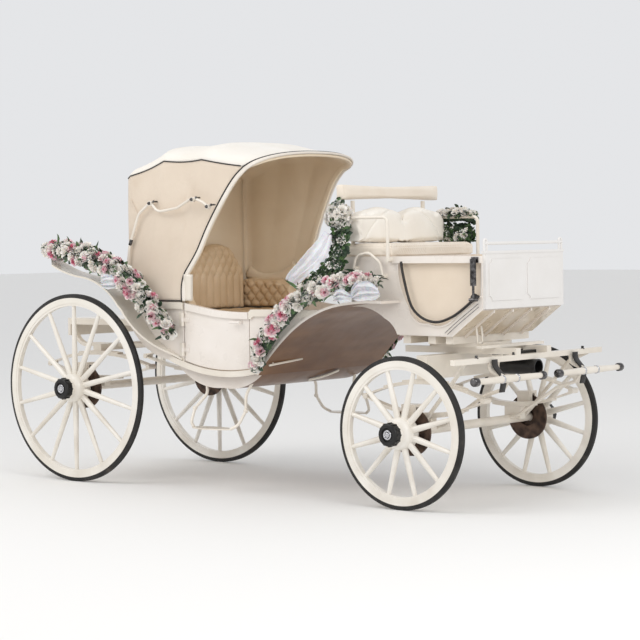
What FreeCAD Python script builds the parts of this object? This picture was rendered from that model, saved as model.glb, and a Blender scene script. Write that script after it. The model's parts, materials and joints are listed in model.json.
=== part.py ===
import FreeCAD, Part
import math
import os

# Four-wheeled open carriage drawn by a pair of horses: a boat-shaped passenger tub with a folding
# hood, a driver's box in front, elliptic springs on two axles and a turntable under the box.
# Millimetres. X runs forward, Y to the left, Z up. The side views below give X from the rear axle,
# or from the front axle inside ahead(); every finished piece is moved by ORIGIN_X, which puts the
# origin on the ground under the middle of the whole carriage.

V = FreeCAD.Vector
ACROSS = V(0, 1, 0)

# Running gear
TRACK = 1306
WHEELBASE = 2510
REAR_RADIUS = 575
FRONT_RADIUS = 416
REAR_SPOKES = 14
FRONT_SPOKES = 12
TYRE_WIDTH = 32
TYRE_DEPTH = 24
TYRE_CROWN = 20
RIM_WIDTH = 36
RIM_DEPTH = 34
RIM_STEP = 14
RIM_STEP_WIDTH = 30
SPOKE_ROOT_RADIUS = 19
SPOKE_TIP_RADIUS = 12
SPOKE_SUNK = 12
HUB_RADIUS = 88
HUB_NECK_RADIUS = 62
HUB_BAND = 25
HUB_OUTBOARD = 82
HUB_INBOARD = 70
CAP_RADIUS = 62
CAP_LENGTH = 44
CAP_RIBS = 12
BEARING_CLEARANCE = 0.3
AXLE_ARM_RADIUS = 22
AXLE_RADIUS = 25
DISC_RADIUS = 130
DISC_THICKNESS = 12
DISC_HAT_RADIUS = 66
DISC_HAT_DEPTH = 22
RUNNING_GAP = 6
SEAT_GAP = 0.3

# Springs: arc half length, rise of an arc, leaf and the number of leaves in a half
SPRING_Y = TRACK / 2 - 223
LEAF_WIDTH = 50
LEAF_THICKNESS = 9
LEAF_STEP = 130
LEAVES = 3
REAR_SPRING_HALF = 430
REAR_SPRING_RISE = 64
FRONT_SPRING_HALF = 400
FRONT_SPRING_RISE = 78
SADDLE_HEIGHT = 12
FRONT_SADDLE_HEIGHT = 44
SADDLE_LENGTH = 110

# Turntable and draught gear
TURNTABLE_RADIUS = 230
TURNTABLE_WIDTH = 46
PLATE_THICKNESS = 12
TURNTABLE_Z = 860
KINGPIN_RADIUS = 20
FUTCHELL_Y = 150
FUTCHELL_WIDTH = 44
FUTCHELL_DEPTH = 36
FUTCHELL_REAR = 330
SPLINTER_X = WHEELBASE + 402
SPLINTER_HALF = TRACK / 2 + 66
SPLINTER_DEPTH = 30
SPLINTER_WIDTH = 44
POLE_BORE_RADIUS = 36
POLE_SOCKET_WALL = 8
POLE_SOCKET_LENGTH = 230
SWINGLE_HALF = 330
SWINGLE_Y = SPLINTER_HALF - 324
SWINGLE_DROP = 97
SWINGLE_REACH = 130
SWINGLE_RADIUS = 21
SWINGLE_TIP_RADIUS = 15

# Tub
TUB_HALF = 540
BELLY_HALF = TUB_HALF - 40
WALL = 20
DOOR_REAR = 815
DOOR_FRONT = 1335
DOOR_GAP = 6
DOOR_SWING = 85
HINGE_HEIGHTS = (823, 1000)
HINGE_PIN_RADIUS = 5
HINGE_KNUCKLE_RADIUS = 10
HINGE_KNUCKLE = 26
HINGE_OUT = 11
RAIL_DEPTH = 40
RAIL_PROUD = 13
MOULD_DEPTH = 34
MOULD_PROUD = 12
HOOD_SEAT_Z = 1104

# Wings and front sheet
SHEET_HALF = TUB_HALF + 20
SHEET_THICKNESS = 14
SHEET_END = WHEELBASE - 199
REAR_WING_OUT = TUB_HALF + 160
REAR_WING_THICKNESS = 10

# Driver's box
BOX_HALF = 385
BOX_WALL = 20
BOX_REAR = WHEELBASE - 630
BOX_FLOOR_Z = 930
SEAT_FRONT = WHEELBASE - 248
SEAT_TOP = 1365
DASH_X = WHEELBASE + 374
DASH_HALF = BOX_HALF - 8
DASH_LOW = 1078
DASH_TOP = 1391
DASH_THICKNESS = 22
DASH_RAIL_Z = 1432
CUSHION_THICKNESS = 66
ARM_RAIL_Z = 1583
ARM_RAIL_Y = BOX_HALF + 45
ARM_RAIL_RADIUS = 10
BACK_BAR_HALF = BOX_HALF + 65
BACK_BAR_LOW = 1680
BACK_BAR_HIGH = 1775
BACK_BAR_FRONT = WHEELBASE - 540
BACK_BAR_DEPTH = 62

# Hood
HOOD_HALF = TUB_HALF + 10
HOOD_THICKNESS = 9
HOOD_REAR = 360
BOW_WIDTH = 34
BOW_THICKNESS = 24

# Steps
STEP_X = 1112
STEP_Y = TUB_HALF + 92
STEP_Z = 372
STEP_LONG = 150
STEP_SHORT = 58
STEP_ROD = 9

FRONT_END = SPLINTER_X + SWINGLE_REACH + SWINGLE_RADIUS
ORIGIN_X = (REAR_RADIUS - FRONT_END) / 2


def box(x0, x1, y0, y1, z0, z1):
    return Part.makeBox(x1 - x0, y1 - y0, z1 - z0, V(x0, y0, z0))


def rod(start, end, radius, tip_radius=None):
    start, end = V(*start), V(*end)
    along = end - start
    if tip_radius is None or tip_radius == radius:
        return Part.makeCylinder(radius, along.Length, start, along)
    return Part.makeCone(radius, tip_radius, along.Length, start, along)


def fused(shapes):
    shapes = list(shapes)
    return shapes[0].multiFuse(shapes[1:]).removeSplitter() if len(shapes) > 1 else shapes[0]


def largest(shape):
    """The main solid that a cut leaves, without its slivers."""
    return max(shape.Solids, key=lambda solid: solid.Volume)


def top_edges(shape, height):
    return [edge for edge in shape.Edges if edge.BoundBox.ZMin > height - 1]


def mirrored(shape):
    return shape.mirror(V(0, 0, 0), ACROSS)


def both_sides(shape):
    return Part.makeCompound([shape, mirrored(shape)])


def edges(start, steps, place):
    """Lines (a, b) and three-point arcs (a through, b through, a, b) as edges from a start."""
    made = []
    here = start
    for step in steps:
        there = step[-2:]
        if len(step) == 2:
            made.append(Part.LineSegment(place(here), place(there)).toShape())
        else:
            made.append(Part.Arc(place(here), place(step[:2]), place(there)).toShape())
        here = there
    return made


def ahead(points):
    """Side-view points and steps measured from the front axle, moved to their places."""
    return [tuple(value + WHEELBASE * (number % 2 == 0) for number, value in enumerate(point)) for point in points]


def side_view(y):
    return lambda point: V(point[0], y, point[1])


def front_view(x):
    return lambda point: V(x, point[0], point[1])


def plate(start, steps, y0, y1):
    """A closed side-view outline made solid from y0 to y1."""
    outline = edges(start, list(steps) + [start], side_view(y0))
    return Part.Face(Part.Wire(outline)).extrude(V(0, y1 - y0, 0))


def ribbon(start, steps, thickness, y0, y1):
    """An open side-view line, thickened to one side and made solid from y0 to y1."""
    if len(steps) == 1 and len(steps[0]) == 2:
        run = V(steps[0][0] - start[0], 0, steps[0][1] - start[1]).normalize()
        away = (-run.z * thickness, run.x * thickness)
        end = steps[0]
        return plate(start, [end, (end[0] + away[0], end[1] + away[1]),
                             (start[0] + away[0], start[1] + away[1])], y0, y1)
    line = Part.Wire(edges(start, steps, side_view(y0)))
    face = line.makeOffset2D(thickness, join=2, fill=True, openResult=True)
    return face.extrude(V(0, y1 - y0, 0))


def bent_rod(points, radius, bend):
    """A round rod along straight runs joined by tangent arcs of about the bend radius."""
    points = [V(*point) for point in points]
    pieces = []
    here = points[0]
    for before, corner, after in zip(points, points[1:], points[2:]):
        into = (corner - before).normalize()
        out = (after - corner).normalize()
        turn = into.getAngle(out)
        longest = min((corner - before).Length, (after - corner).Length) * 0.45
        run = min(bend * math.tan(turn / 2), longest)
        first = corner - into * run
        axis = into.cross(out).normalize()
        centre = first + axis.cross(into).normalize() * (run / math.tan(turn / 2))
        section = Part.Face(Part.Wire([Part.Circle(first, into, radius).toShape()]))
        pieces.append(rod(here, first, radius))
        pieces.append(section.revolve(centre, axis, math.degrees(turn)))
        here = corner + out * run
    pieces.append(rod(here, points[-1], radius))
    return pieces[0].multiFuse(pieces[1:])


def turned(profile):
    """A closed (radius, along Y) outline of lines and arcs, turned about the Y axis."""
    outline = edges(profile[0], list(profile[1:]) + [profile[0]], lambda point: V(point[0], point[1], 0))
    return Part.Face(Part.Wire(outline)).revolve(V(0, 0, 0), ACROSS, 360)


os.makedirs("parts", exist_ok=True)


def save(name, shape):
    shape = shape.copy()
    shape.translate(V(ORIGIN_X, 0, 0))
    shape.exportStep("parts/" + name + ".step")
    print(name, shape.ShapeType, len(shape.Solids), round(shape.Volume / 1e6, 2), shape.isValid())


# Wheels, each built on the left at its axle and mirrored for the right

HUB_BORE = AXLE_ARM_RADIUS + BEARING_CLEARANCE
DISC_Y = HUB_INBOARD + DISC_HAT_DEPTH


def tyre(radius):
    inner = radius - TYRE_DEPTH
    half = TYRE_WIDTH / 2
    crown = TYRE_CROWN / 2
    return turned([(inner, -half), (inner, half), (radius, crown), (radius, -crown)])


def wheel(radius, spokes, first_spoke):
    outer = radius - TYRE_DEPTH
    shelf = outer - RIM_DEPTH
    inner = shelf - RIM_STEP
    rim = turned([(outer, -RIM_WIDTH / 2), (outer, RIM_WIDTH / 2), (shelf, RIM_WIDTH / 2),
                  (shelf, RIM_STEP_WIDTH / 2), (inner, RIM_STEP_WIDTH / 2), (inner, -RIM_STEP_WIDTH / 2),
                  (shelf, -RIM_STEP_WIDTH / 2), (shelf, -RIM_WIDTH / 2)])
    flank = HUB_RADIUS - HUB_NECK_RADIUS - 4
    hub = turned([(HUB_BORE, -HUB_INBOARD), (HUB_BORE, HUB_OUTBOARD), (HUB_NECK_RADIUS, HUB_OUTBOARD),
                  (HUB_NECK_RADIUS, HUB_BAND + 36), (HUB_NECK_RADIUS + 4, HUB_BAND + 34),
                  (HUB_RADIUS - flank * 0.2, HUB_BAND + 21, HUB_RADIUS, HUB_BAND), (HUB_RADIUS, -HUB_BAND),
                  (HUB_RADIUS - flank * 0.2, -HUB_BAND - 21, HUB_NECK_RADIUS + 4, -HUB_BAND - 34),
                  (HUB_NECK_RADIUS, -HUB_INBOARD)])
    pieces = [rim, hub]
    for number in range(spokes):
        angle = math.radians(first_spoke + 360 * number / spokes)
        out = V(math.sin(angle), 0, math.cos(angle))
        pieces.append(rod(out * (HUB_RADIUS - SPOKE_SUNK), out * (inner + 4), SPOKE_ROOT_RADIUS, SPOKE_TIP_RADIUS))
    return fused(pieces)


def hub_cap():
    face = HUB_OUTBOARD + CAP_LENGTH
    cap = turned([(0, HUB_OUTBOARD + 16), (CAP_RADIUS - 14, HUB_OUTBOARD + 16), (CAP_RADIUS - 14, HUB_OUTBOARD),
                  (CAP_RADIUS, HUB_OUTBOARD), (CAP_RADIUS, face - 10), (CAP_RADIUS - 4, face - 3, CAP_RADIUS - 12, face),
                  (CAP_RADIUS - 24, face), (CAP_RADIUS - 28, face - 8), (0, face - 8)])
    ribs = []
    for number in range(CAP_RIBS):
        angle = 360 * number / CAP_RIBS
        rib = box(-4, 4, 0, CAP_LENGTH - 12, CAP_RADIUS - 6, CAP_RADIUS + 4)
        rib.rotate(V(0, 0, 0), ACROSS, angle)
        rib.translate(V(0, HUB_OUTBOARD, 0))
        ribs.append(rib)
    return fused([cap] + ribs)


def brake_disc():
    back = -DISC_Y
    return turned([(HUB_BORE + 4, -HUB_INBOARD), (DISC_HAT_RADIUS, -HUB_INBOARD),
                   (DISC_HAT_RADIUS, back + DISC_THICKNESS / 2), (DISC_RADIUS, back + DISC_THICKNESS / 2),
                   (DISC_RADIUS, back - DISC_THICKNESS / 2), (DISC_HAT_RADIUS - 12, back - DISC_THICKNESS / 2),
                   (DISC_HAT_RADIUS - 12, -HUB_INBOARD - 8), (HUB_BORE + 4, -HUB_INBOARD - 8)])


WHEELS = (
    # place, axle X, radius, spokes, first spoke's angle
    ("rear", 0, REAR_RADIUS, REAR_SPOKES, 0),
    ("front", WHEELBASE, FRONT_RADIUS, FRONT_SPOKES, 15),
)

for place, axle_x, radius, spokes, first_spoke in WHEELS:
    pieces = {"tyre": tyre(radius), "wheel": wheel(radius, spokes, first_spoke),
              "hub_cap": hub_cap(), "brake_disc": brake_disc()}
    for kind, shape in pieces.items():
        shape.translate(V(axle_x, TRACK / 2, radius))
        save(kind + "_" + place + "_left", shape)
        save(kind + "_" + place + "_right", mirrored(shape))


# Axles with their arms in the hubs and a brake caliper over each disc

def axle(x, z, saddle_height):
    inboard = TRACK / 2 - DISC_Y - DISC_THICKNESS / 2 - RUNNING_GAP
    beam = rod((x, -inboard, z), (x, inboard, z), AXLE_RADIUS)
    arms = rod((x, -TRACK / 2 - HUB_OUTBOARD, z), (x, TRACK / 2 + HUB_OUTBOARD, z), AXLE_ARM_RADIUS)
    pieces = [beam, arms]
    disc_y = TRACK / 2 - DISC_Y
    grip = DISC_THICKNESS / 2 + RUNNING_GAP
    for side in (-1, 1):
        caliper = box(x - 42, x + 42, disc_y - 44, disc_y + 34, z + 78, z + DISC_RADIUS + 22)
        slot = box(x - 60, x + 60, disc_y - grip, disc_y + grip, z, z + DISC_RADIUS + RUNNING_GAP)
        stay = box(x - 16, x + 16, disc_y - 44, disc_y - 24, z, z + 80)
        caliper = fused([caliper.cut(slot), stay])
        pad = box(x - SADDLE_LENGTH / 2, x + SADDLE_LENGTH / 2, SPRING_Y - LEAF_WIDTH / 2,
                  SPRING_Y + LEAF_WIDTH / 2, z, z + AXLE_RADIUS + saddle_height)
        if side < 0:
            caliper, pad = mirrored(caliper), mirrored(pad)
        pieces += [caliper, pad]
    return fused(pieces)


# Full elliptic springs: two stepped stacks of leaves with an eye at each end

def spring(x, low, half, rise):
    """A left spring whose lowest leaf rests at the height low."""
    stack = LEAF_THICKNESS * LEAVES
    middle = low + stack + rise
    radius = (half * half + rise * rise) / (2 * rise)
    pieces = []
    for turn in (1, -1):
        centre_z = middle + turn * (rise - radius)
        for leaf in range(LEAVES):
            reach = half - LEAF_STEP * leaf
            inner = radius + LEAF_THICKNESS * leaf
            outer = inner + LEAF_THICKNESS
            angle = math.asin(reach / inner)
            a, b = math.sin(angle), math.cos(angle) * turn
            start = (x - inner * a, centre_z + inner * b)
            pieces.append(plate(start, [(x, centre_z + turn * inner, x + inner * a, centre_z + inner * b),
                                        (x + outer * a, centre_z + outer * b),
                                        (x, centre_z + turn * outer, x - outer * a, centre_z + outer * b)],
                                SPRING_Y - LEAF_WIDTH / 2, SPRING_Y + LEAF_WIDTH / 2))
    for end in (-half, half):
        pieces.append(rod((x + end, SPRING_Y - LEAF_WIDTH / 2 - 5, middle),
                          (x + end, SPRING_Y + LEAF_WIDTH / 2 + 5, middle), 16))
    return fused(pieces)


REAR_SPRING_LOW = REAR_RADIUS + AXLE_RADIUS + SADDLE_HEIGHT
FRONT_SPRING_LOW = FRONT_RADIUS + AXLE_RADIUS + FRONT_SADDLE_HEIGHT
REAR_SPRING_TOP = REAR_SPRING_LOW + 2 * (LEAF_THICKNESS * LEAVES + REAR_SPRING_RISE)
FRONT_SPRING_TOP = FRONT_SPRING_LOW + 2 * (LEAF_THICKNESS * LEAVES + FRONT_SPRING_RISE)

save("rear_axle", axle(0, REAR_RADIUS, SADDLE_HEIGHT))
save("front_axle", axle(WHEELBASE, FRONT_RADIUS, FRONT_SADDLE_HEIGHT))
save("rear_springs", both_sides(spring(0, REAR_SPRING_LOW, REAR_SPRING_HALF, REAR_SPRING_RISE)))
save("front_springs", both_sides(spring(WHEELBASE, FRONT_SPRING_LOW, FRONT_SPRING_HALF, FRONT_SPRING_RISE)))

# Front sheet: one bent sheet across the carriage, from the tub's floor up under the driver's box

SHEET_START = (1400, 697)
SHEET_KNEE = (1966, 1097)
SHEET_TOP = 1122
SHEET_BULGE = 0.03
SHEET_LINE = [(1500, 812, 1621, 923), (1796, 1036) + SHEET_KNEE,
              ((SHEET_KNEE[0] + SHEET_END) / 2,
               (SHEET_KNEE[1] + SHEET_TOP) / 2 + SHEET_BULGE * (SHEET_END - SHEET_KNEE[0]), SHEET_END, SHEET_TOP)]
front_sheet = ribbon(SHEET_START, SHEET_LINE, -SHEET_THICKNESS, -SHEET_HALF, SHEET_HALF)

# Tub: upper sides above the lower moulding, a narrower belly below it, hollow inside

MOULD_START = (700, 757)
MOULD_LINE = [(1080, 672) + SHEET_START]
TUB_TOP = HOOD_SEAT_Z + 30
TUB_BACK_X = 372
BACK_LINE = [(TUB_BACK_X - 22, 1020, TUB_BACK_X + 28, 920), (520, 815) + MOULD_START]
BELLY_LINE = [(880, 628, 1087, 602), (1270, 620) + SHEET_START]
FRONT_LINE = SHEET_LINE[:2] + [(SHEET_KNEE[0], TUB_TOP)]
RAIL_START = (TUB_BACK_X - 10, HOOD_SEAT_Z)
RAIL_LINE = [(800, HOOD_SEAT_Z), (930, 1082, 1060, 1062), (1200, 1052, DOOR_FRONT, 1050), (1352, 1066),
             (1600, 1068, 1850, 1066)]


def side_face(lower_line):
    outline = [(TUB_BACK_X, HOOD_SEAT_Z)] + BACK_LINE + lower_line + FRONT_LINE
    return Part.Face(Part.Wire(edges((TUB_BACK_X, TUB_TOP), outline + [(TUB_BACK_X, TUB_TOP)], side_view(0))))


def widened(face, half):
    face = face.copy()
    face.translate(V(0, -half, 0))
    return face.extrude(V(0, 2 * half, 0))


def tub():
    whole, upper = side_face(BELLY_LINE), side_face(MOULD_LINE)
    outside = widened(whole, BELLY_HALF).fuse(widened(upper, TUB_HALF))
    inside = [widened(whole.makeOffset2D(-WALL, join=0), BELLY_HALF - WALL),
              widened(upper.makeOffset2D(-WALL, join=0), TUB_HALF - WALL)]
    return outside, outside.cut(fused(inside))


def door_span(gap):
    """The door's or, with no gap, the doorway's space through the left side."""
    space = box(DOOR_REAR + gap, DOOR_FRONT - gap, TUB_HALF - WALL, TUB_HALF, MOULD_LINE[0][1], TUB_TOP)
    lift = ribbon(MOULD_START, MOULD_LINE, MOULD_DEPTH + gap, TUB_HALF - WALL, TUB_HALF)
    sink = ribbon(MOULD_START, MOULD_LINE, -2 * MOULD_DEPTH, TUB_HALF - WALL, TUB_HALF)
    return space.cut(fused([lift, sink]))


def moulding(line_start, line, depth, proud, x0, x1):
    """A side moulding proud of the tub's left side, between two X places."""
    strip = ribbon(line_start, line, depth, TUB_HALF, TUB_HALF + proud)
    return strip.common(box(x0, x1, TUB_HALF, TUB_HALF + proud, 0, 2 * TUB_TOP))


def hinge(height, fixed):
    """A hinge's knuckles on the hinge line: the outer two and the pin, or the door's middle one."""
    y = TUB_HALF + HINGE_OUT
    x = DOOR_REAR
    pieces = []
    tall = HINGE_KNUCKLE * 3
    if fixed:
        pieces.append(box(x - 34, x, TUB_HALF, TUB_HALF + 4, height - tall / 2, height + tall / 2))
        for low in (height - tall / 2, height + tall / 2 - HINGE_KNUCKLE):
            pieces.append(rod((x, y, low), (x, y, low + HINGE_KNUCKLE), HINGE_KNUCKLE_RADIUS))
        swing = rod((x, y, height - HINGE_KNUCKLE / 2), (x, y, height + HINGE_KNUCKLE / 2), HINGE_KNUCKLE_RADIUS + 1)
        pin = rod((x, y, height - tall / 2), (x, y, height + tall / 2), HINGE_PIN_RADIUS)
        return fused([fused(pieces).cut(swing), pin])
    low = height - HINGE_KNUCKLE / 2 + SEAT_GAP
    high = height + HINGE_KNUCKLE / 2 - SEAT_GAP
    barrel = rod((x, y, low), (x, y, high), HINGE_KNUCKLE_RADIUS)
    leaf = box(x + DOOR_GAP, x + 44, TUB_HALF, TUB_HALF + 4, low, high)
    arm = box(x, x + DOOR_GAP + 6, TUB_HALF + 4 - SEAT_GAP, TUB_HALF + 8, low, high)
    leaf = leaf.fuse(arm)
    bore = rod((x, y, low), (x, y, high), HINGE_PIN_RADIUS + SEAT_GAP)
    return fused([barrel, leaf]).cut(bore)


tub_outside, tub_shell = tub()
above_rail = ribbon(RAIL_START, RAIL_LINE + [(2 * SHEET_KNEE[0], RAIL_LINE[-1][3])], 200, -TUB_HALF, TUB_HALF)
doorway = door_span(0)
tub_shell = tub_shell.cut(above_rail).cut(doorway).cut(mirrored(doorway))
fixed_hinges = fused(hinge(height, True) for height in HINGE_HEIGHTS)
front_rail = moulding(RAIL_START, RAIL_LINE, -RAIL_DEPTH, RAIL_PROUD, DOOR_FRONT, 2 * DOOR_FRONT)
rails = [moulding(RAIL_START, RAIL_LINE, -RAIL_DEPTH, RAIL_PROUD, TUB_BACK_X, DOOR_REAR),
         largest(front_rail.cut(front_sheet)),
         moulding(MOULD_START, MOULD_LINE, MOULD_DEPTH, MOULD_PROUD, 0, 2 * DOOR_FRONT)]
door = door_span(DOOR_GAP).cut(above_rail)
door_rail = moulding(RAIL_START, RAIL_LINE, -RAIL_DEPTH, RAIL_PROUD, DOOR_REAR + 20, DOOR_FRONT - DOOR_GAP)
handle = fused([rod((DOOR_FRONT - 60, TUB_HALF - WALL - 30, 990), (DOOR_FRONT - 60, TUB_HALF + 30, 990), 6),
                rod((DOOR_FRONT - 130, TUB_HALF + 30, 990), (DOOR_FRONT - 50, TUB_HALF + 30, 990), 7, 9)])
door = fused([door, door_rail, handle] + [hinge(height, False) for height in HINGE_HEIGHTS])

save("front_sheet", front_sheet)
save("tub_shell", tub_shell)
save("tub_mouldings", both_sides(Part.makeCompound(rails)))
save("door_hinges", both_sides(fixed_hinges))
save("door_left", door)
save("door_right", mirrored(door))

# Rear wings: a bent sheet over each rear wheel, its outer edge drawn in to the tub at the front

WING_START = (-250, 1372)
WING_LINE = [(-70, 1290, 90, 1252), (300, 1185, 440, 1052), (550, 905, 700, 808), (800, 760)]
WING_PLAN = (
    # X, reach beyond the tub's side
    (-250, 60), (-150, 150), (60, REAR_WING_OUT - TUB_HALF), (420, REAR_WING_OUT - TUB_HALF), (640, 70), (770, 16),
)
WING_ROOT = TUB_HALF + SEAT_GAP


def rear_wing():
    sheet = ribbon(WING_START, WING_LINE, REAR_WING_THICKNESS, WING_ROOT, REAR_WING_OUT)
    corners = [(-400, SEAT_GAP), (-400, 20)] + list(WING_PLAN) + [(900, SEAT_GAP)]
    plan = Part.Face(Part.makePolygon([V(x, TUB_HALF + reach, 0) for x, reach in corners + corners[:1]]))
    sheet = sheet.common(plan.extrude(V(0, 0, 2 * DASH_TOP)))
    clear = TUB_HALF + RAIL_PROUD + SEAT_GAP
    above = box(TUB_BACK_X - 200, DOOR_REAR, TUB_HALF, clear, HOOD_SEAT_Z - RAIL_DEPTH - 4, 2 * DASH_TOP)
    behind = box(-2 * DOOR_REAR, TUB_BACK_X - 20, TUB_HALF, clear, 0, 2 * DASH_TOP)
    return sheet.cut(fused([above, behind])).cut(Part.makeCompound(rails))


left_wing = rear_wing()
save("rear_wings", both_sides(left_wing))

# Driver's box: side panels with a low arch behind and a deep open footwell, floor, riser and toe board

ARCH_START, *ARCH_LINE = ahead([(-720, 1000), (-460, 1082, -310, 1020), (-258, 985, -224, BOX_FLOOR_Z + 2)])
FLOOR_REAR = ARCH_LINE[-1][-2]
TOE_START = (WHEELBASE + 154, BOX_FLOOR_Z - 4)
TOE_END = (DASH_X - DASH_THICKNESS - 1, DASH_LOW - 7)
WELL_START, *WELL_LINE = ahead([(-207, 1327), (-192, 1200, -137, 1090), (-100, 1020, -6, 998),
                                (100, 990, 173, 1035), (342, 1150), (348, 1327)])


def box_side():
    """The left side panel, its well open and its foot on the sheet."""
    rear_arc, front_arc = ARCH_LINE
    panel = plate((BOX_REAR, SEAT_TOP),
                  [(DASH_X - DASH_THICKNESS, SEAT_TOP), (DASH_X - DASH_THICKNESS, DASH_LOW - 6), TOE_START,
                   front_arc[2:], front_arc[:2] + rear_arc[2:], rear_arc[:2] + ARCH_START,
                   (BOX_REAR, ARCH_START[1])], BOX_HALF - BOX_WALL, BOX_HALF)
    well = plate(WELL_START, WELL_LINE, BOX_HALF - BOX_WALL, BOX_HALF)
    band = ribbon(WELL_START, WELL_LINE[:4], -9, BOX_HALF, BOX_HALF + 6)
    return fused([panel, band]).cut(well).cut(front_sheet)


def drivers_box():
    inner = BOX_HALF - BOX_WALL
    side = box_side()
    floor = box(FLOOR_REAR, TOE_START[0], -inner, inner, BOX_FLOOR_Z - 4, BOX_FLOOR_Z + 16)
    arch = ribbon(ARCH_START, ARCH_LINE, 16, -inner, inner)
    arch = arch.common(box(BOX_REAR + BOX_WALL, WHEELBASE, -inner, inner, 0, SEAT_TOP)).cut(front_sheet)
    toe = ribbon(TOE_START, [TOE_END], 18, -inner, inner)
    riser = box(SEAT_FRONT - 16, SEAT_FRONT, -inner, inner, 1060, SEAT_TOP - 20).cut(front_sheet)
    back = box(BOX_REAR, BOX_REAR + 16, -inner, inner, 1070, SEAT_TOP - 20).cut(front_sheet)
    top = box(BOX_REAR, SEAT_FRONT, -inner, inner, SEAT_TOP - 20, SEAT_TOP)
    ribs = [ribbon(TOE_START, [TOE_END], -14, y - 6, y + 6) for y in (-270, -90, 90, 270)]
    ribs = [rib.common(box(0, DASH_X - DASH_THICKNESS, -inner, inner, 0, DASH_LOW - 8)) for rib in ribs]
    rail = box(SEAT_FRONT - 16, DASH_X - DASH_THICKNESS, BOX_HALF, BOX_HALF + 12, SEAT_TOP - 38, SEAT_TOP)
    pieces = [side, mirrored(side), floor, arch, toe, riser, back, top, rail, mirrored(rail)] + ribs
    return largest(fused(pieces).cut(tub_outside))


def footwell_lining():
    y = BOX_HALF - BOX_WALL - SEAT_GAP
    low = BOX_FLOOR_Z + 16 + SEAT_GAP
    return plate((SEAT_FRONT + SEAT_GAP, SEAT_TOP - 2),
                 [(DASH_X - DASH_THICKNESS - 3, SEAT_TOP - 2), (DASH_X - DASH_THICKNESS - 3, 1120),
                  (TOE_START[0] + 6, 972), (WHEELBASE - 10, low), (SEAT_FRONT + 60, low),
                  (SEAT_FRONT + SEAT_GAP, low + 60)], y - 5, y).cut(front_sheet)


save("drivers_box", drivers_box())
save("footwell_linings", both_sides(footwell_lining()))


def dash():
    board = box(DASH_X - DASH_THICKNESS, DASH_X, -DASH_HALF, DASH_HALF, DASH_LOW, DASH_TOP)
    pieces = [board]
    wide = DASH_HALF - 42
    for side in (-1, 1):
        y0, y1 = sorted((side * 16, side * (wide + 16)))
        panel = box(DASH_X, DASH_X + 5, y0, y1, DASH_LOW + 44, DASH_TOP - 44)
        notches = [rod((DASH_X - 1, y, z), (DASH_X + 9, y, z), 26)
                   for y in (y0, y1) for z in (DASH_LOW + 44, DASH_TOP - 44)]
        pieces.append(panel.cut(fused(notches)))
    for side in (-1, 1):
        y = side * (DASH_HALF - 12)
        pieces.append(bent_rod([(DASH_X - 11, y - 13, DASH_TOP - 4), (DASH_X - 11, y - 13, DASH_RAIL_Z + 22),
                                (DASH_X - 11, y + 13, DASH_RAIL_Z + 22), (DASH_X - 11, y + 13, DASH_TOP - 4)], 6, 12))
    pieces.append(rod((DASH_X - 11, -DASH_HALF, DASH_RAIL_Z), (DASH_X - 11, DASH_HALF, DASH_RAIL_Z), 9))
    pieces.append(box(DASH_X - DASH_THICKNESS - 3, DASH_X + 4, -DASH_HALF - 4, DASH_HALF + 4, DASH_TOP - 14, DASH_TOP))
    return fused(pieces).cut(tub_outside)


save("dash", dash())


def brake_pump():
    x, y = DASH_X - 56, -(BOX_HALF + 32)
    bracket = box(x - 22, x + 22, y + 12, -BOX_HALF - 12 - SEAT_GAP, SEAT_TOP - 36, SEAT_TOP - 6)
    barrel = rod((x, y, 1205), (x, y, 1350), 17)
    stem = rod((x, y, 1130), (x, y, 1206), 7)
    pedal = fused([rod((x - 26, y, 1130), (x + 26, y, 1130), 9), stem])
    return fused([bracket, barrel, pedal])


save("brake_pump", brake_pump())


def grab_handle():
    y = BOX_HALF + 34
    line = ahead([(-500, 1300), (-480, 1372), (-390, 1388), (-310, 1330), (-295, 1255)])
    rail = bent_rod([(x, y, z) for x, z in line], 8, 60)
    feet = [rod((x, BOX_HALF, z), (x, y, z), 11) for x, z in (line[0], line[-1])]
    return fused([rail] + feet)


save("grab_handles", both_sides(grab_handle()))

# Driver's seat: cushion, two rounded backs, padded bar on posts and a tubular rail at each side

CUSHION_REAR = BOX_REAR + 10
LOBE_REAR = BACK_BAR_FRONT - 13
LOBE_FRONT = LOBE_REAR + 83
LOBE_HALF = BOX_HALF + 27
CUSHION_TOP = SEAT_TOP + CUSHION_THICKNESS
driver_cushion = box(CUSHION_REAR, SEAT_FRONT + 6, -BOX_HALF - 16, BOX_HALF + 16, SEAT_TOP + SEAT_GAP, CUSHION_TOP)
driver_cushion = driver_cushion.makeFillet(20, top_edges(driver_cushion, CUSHION_TOP))
save("driver_cushion", driver_cushion)


def driver_back():
    low = CUSHION_TOP + SEAT_GAP
    outline = edges((3, low), [(3, low + 144), (20, low + 181, 60, low + 203),
                               (LOBE_HALF / 2, low + 221, LOBE_HALF - 82, low + 194),
                               (LOBE_HALF - 4, low + 159, LOBE_HALF, low + 49), (LOBE_HALF, low), (3, low)],
                    front_view(LOBE_REAR))
    return Part.Face(Part.Wire(outline)).extrude(V(LOBE_FRONT - LOBE_REAR, 0, 0))


save("driver_backs", both_sides(driver_back()))

back_bar = box(BACK_BAR_FRONT - BACK_BAR_DEPTH, BACK_BAR_FRONT, -BACK_BAR_HALF, BACK_BAR_HALF, BACK_BAR_LOW,
               BACK_BAR_HIGH)
back_bar = back_bar.makeFillet(18, [edge for edge in back_bar.Edges if edge.BoundBox.YLength > BACK_BAR_HALF])
save("back_bar", back_bar)


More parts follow.
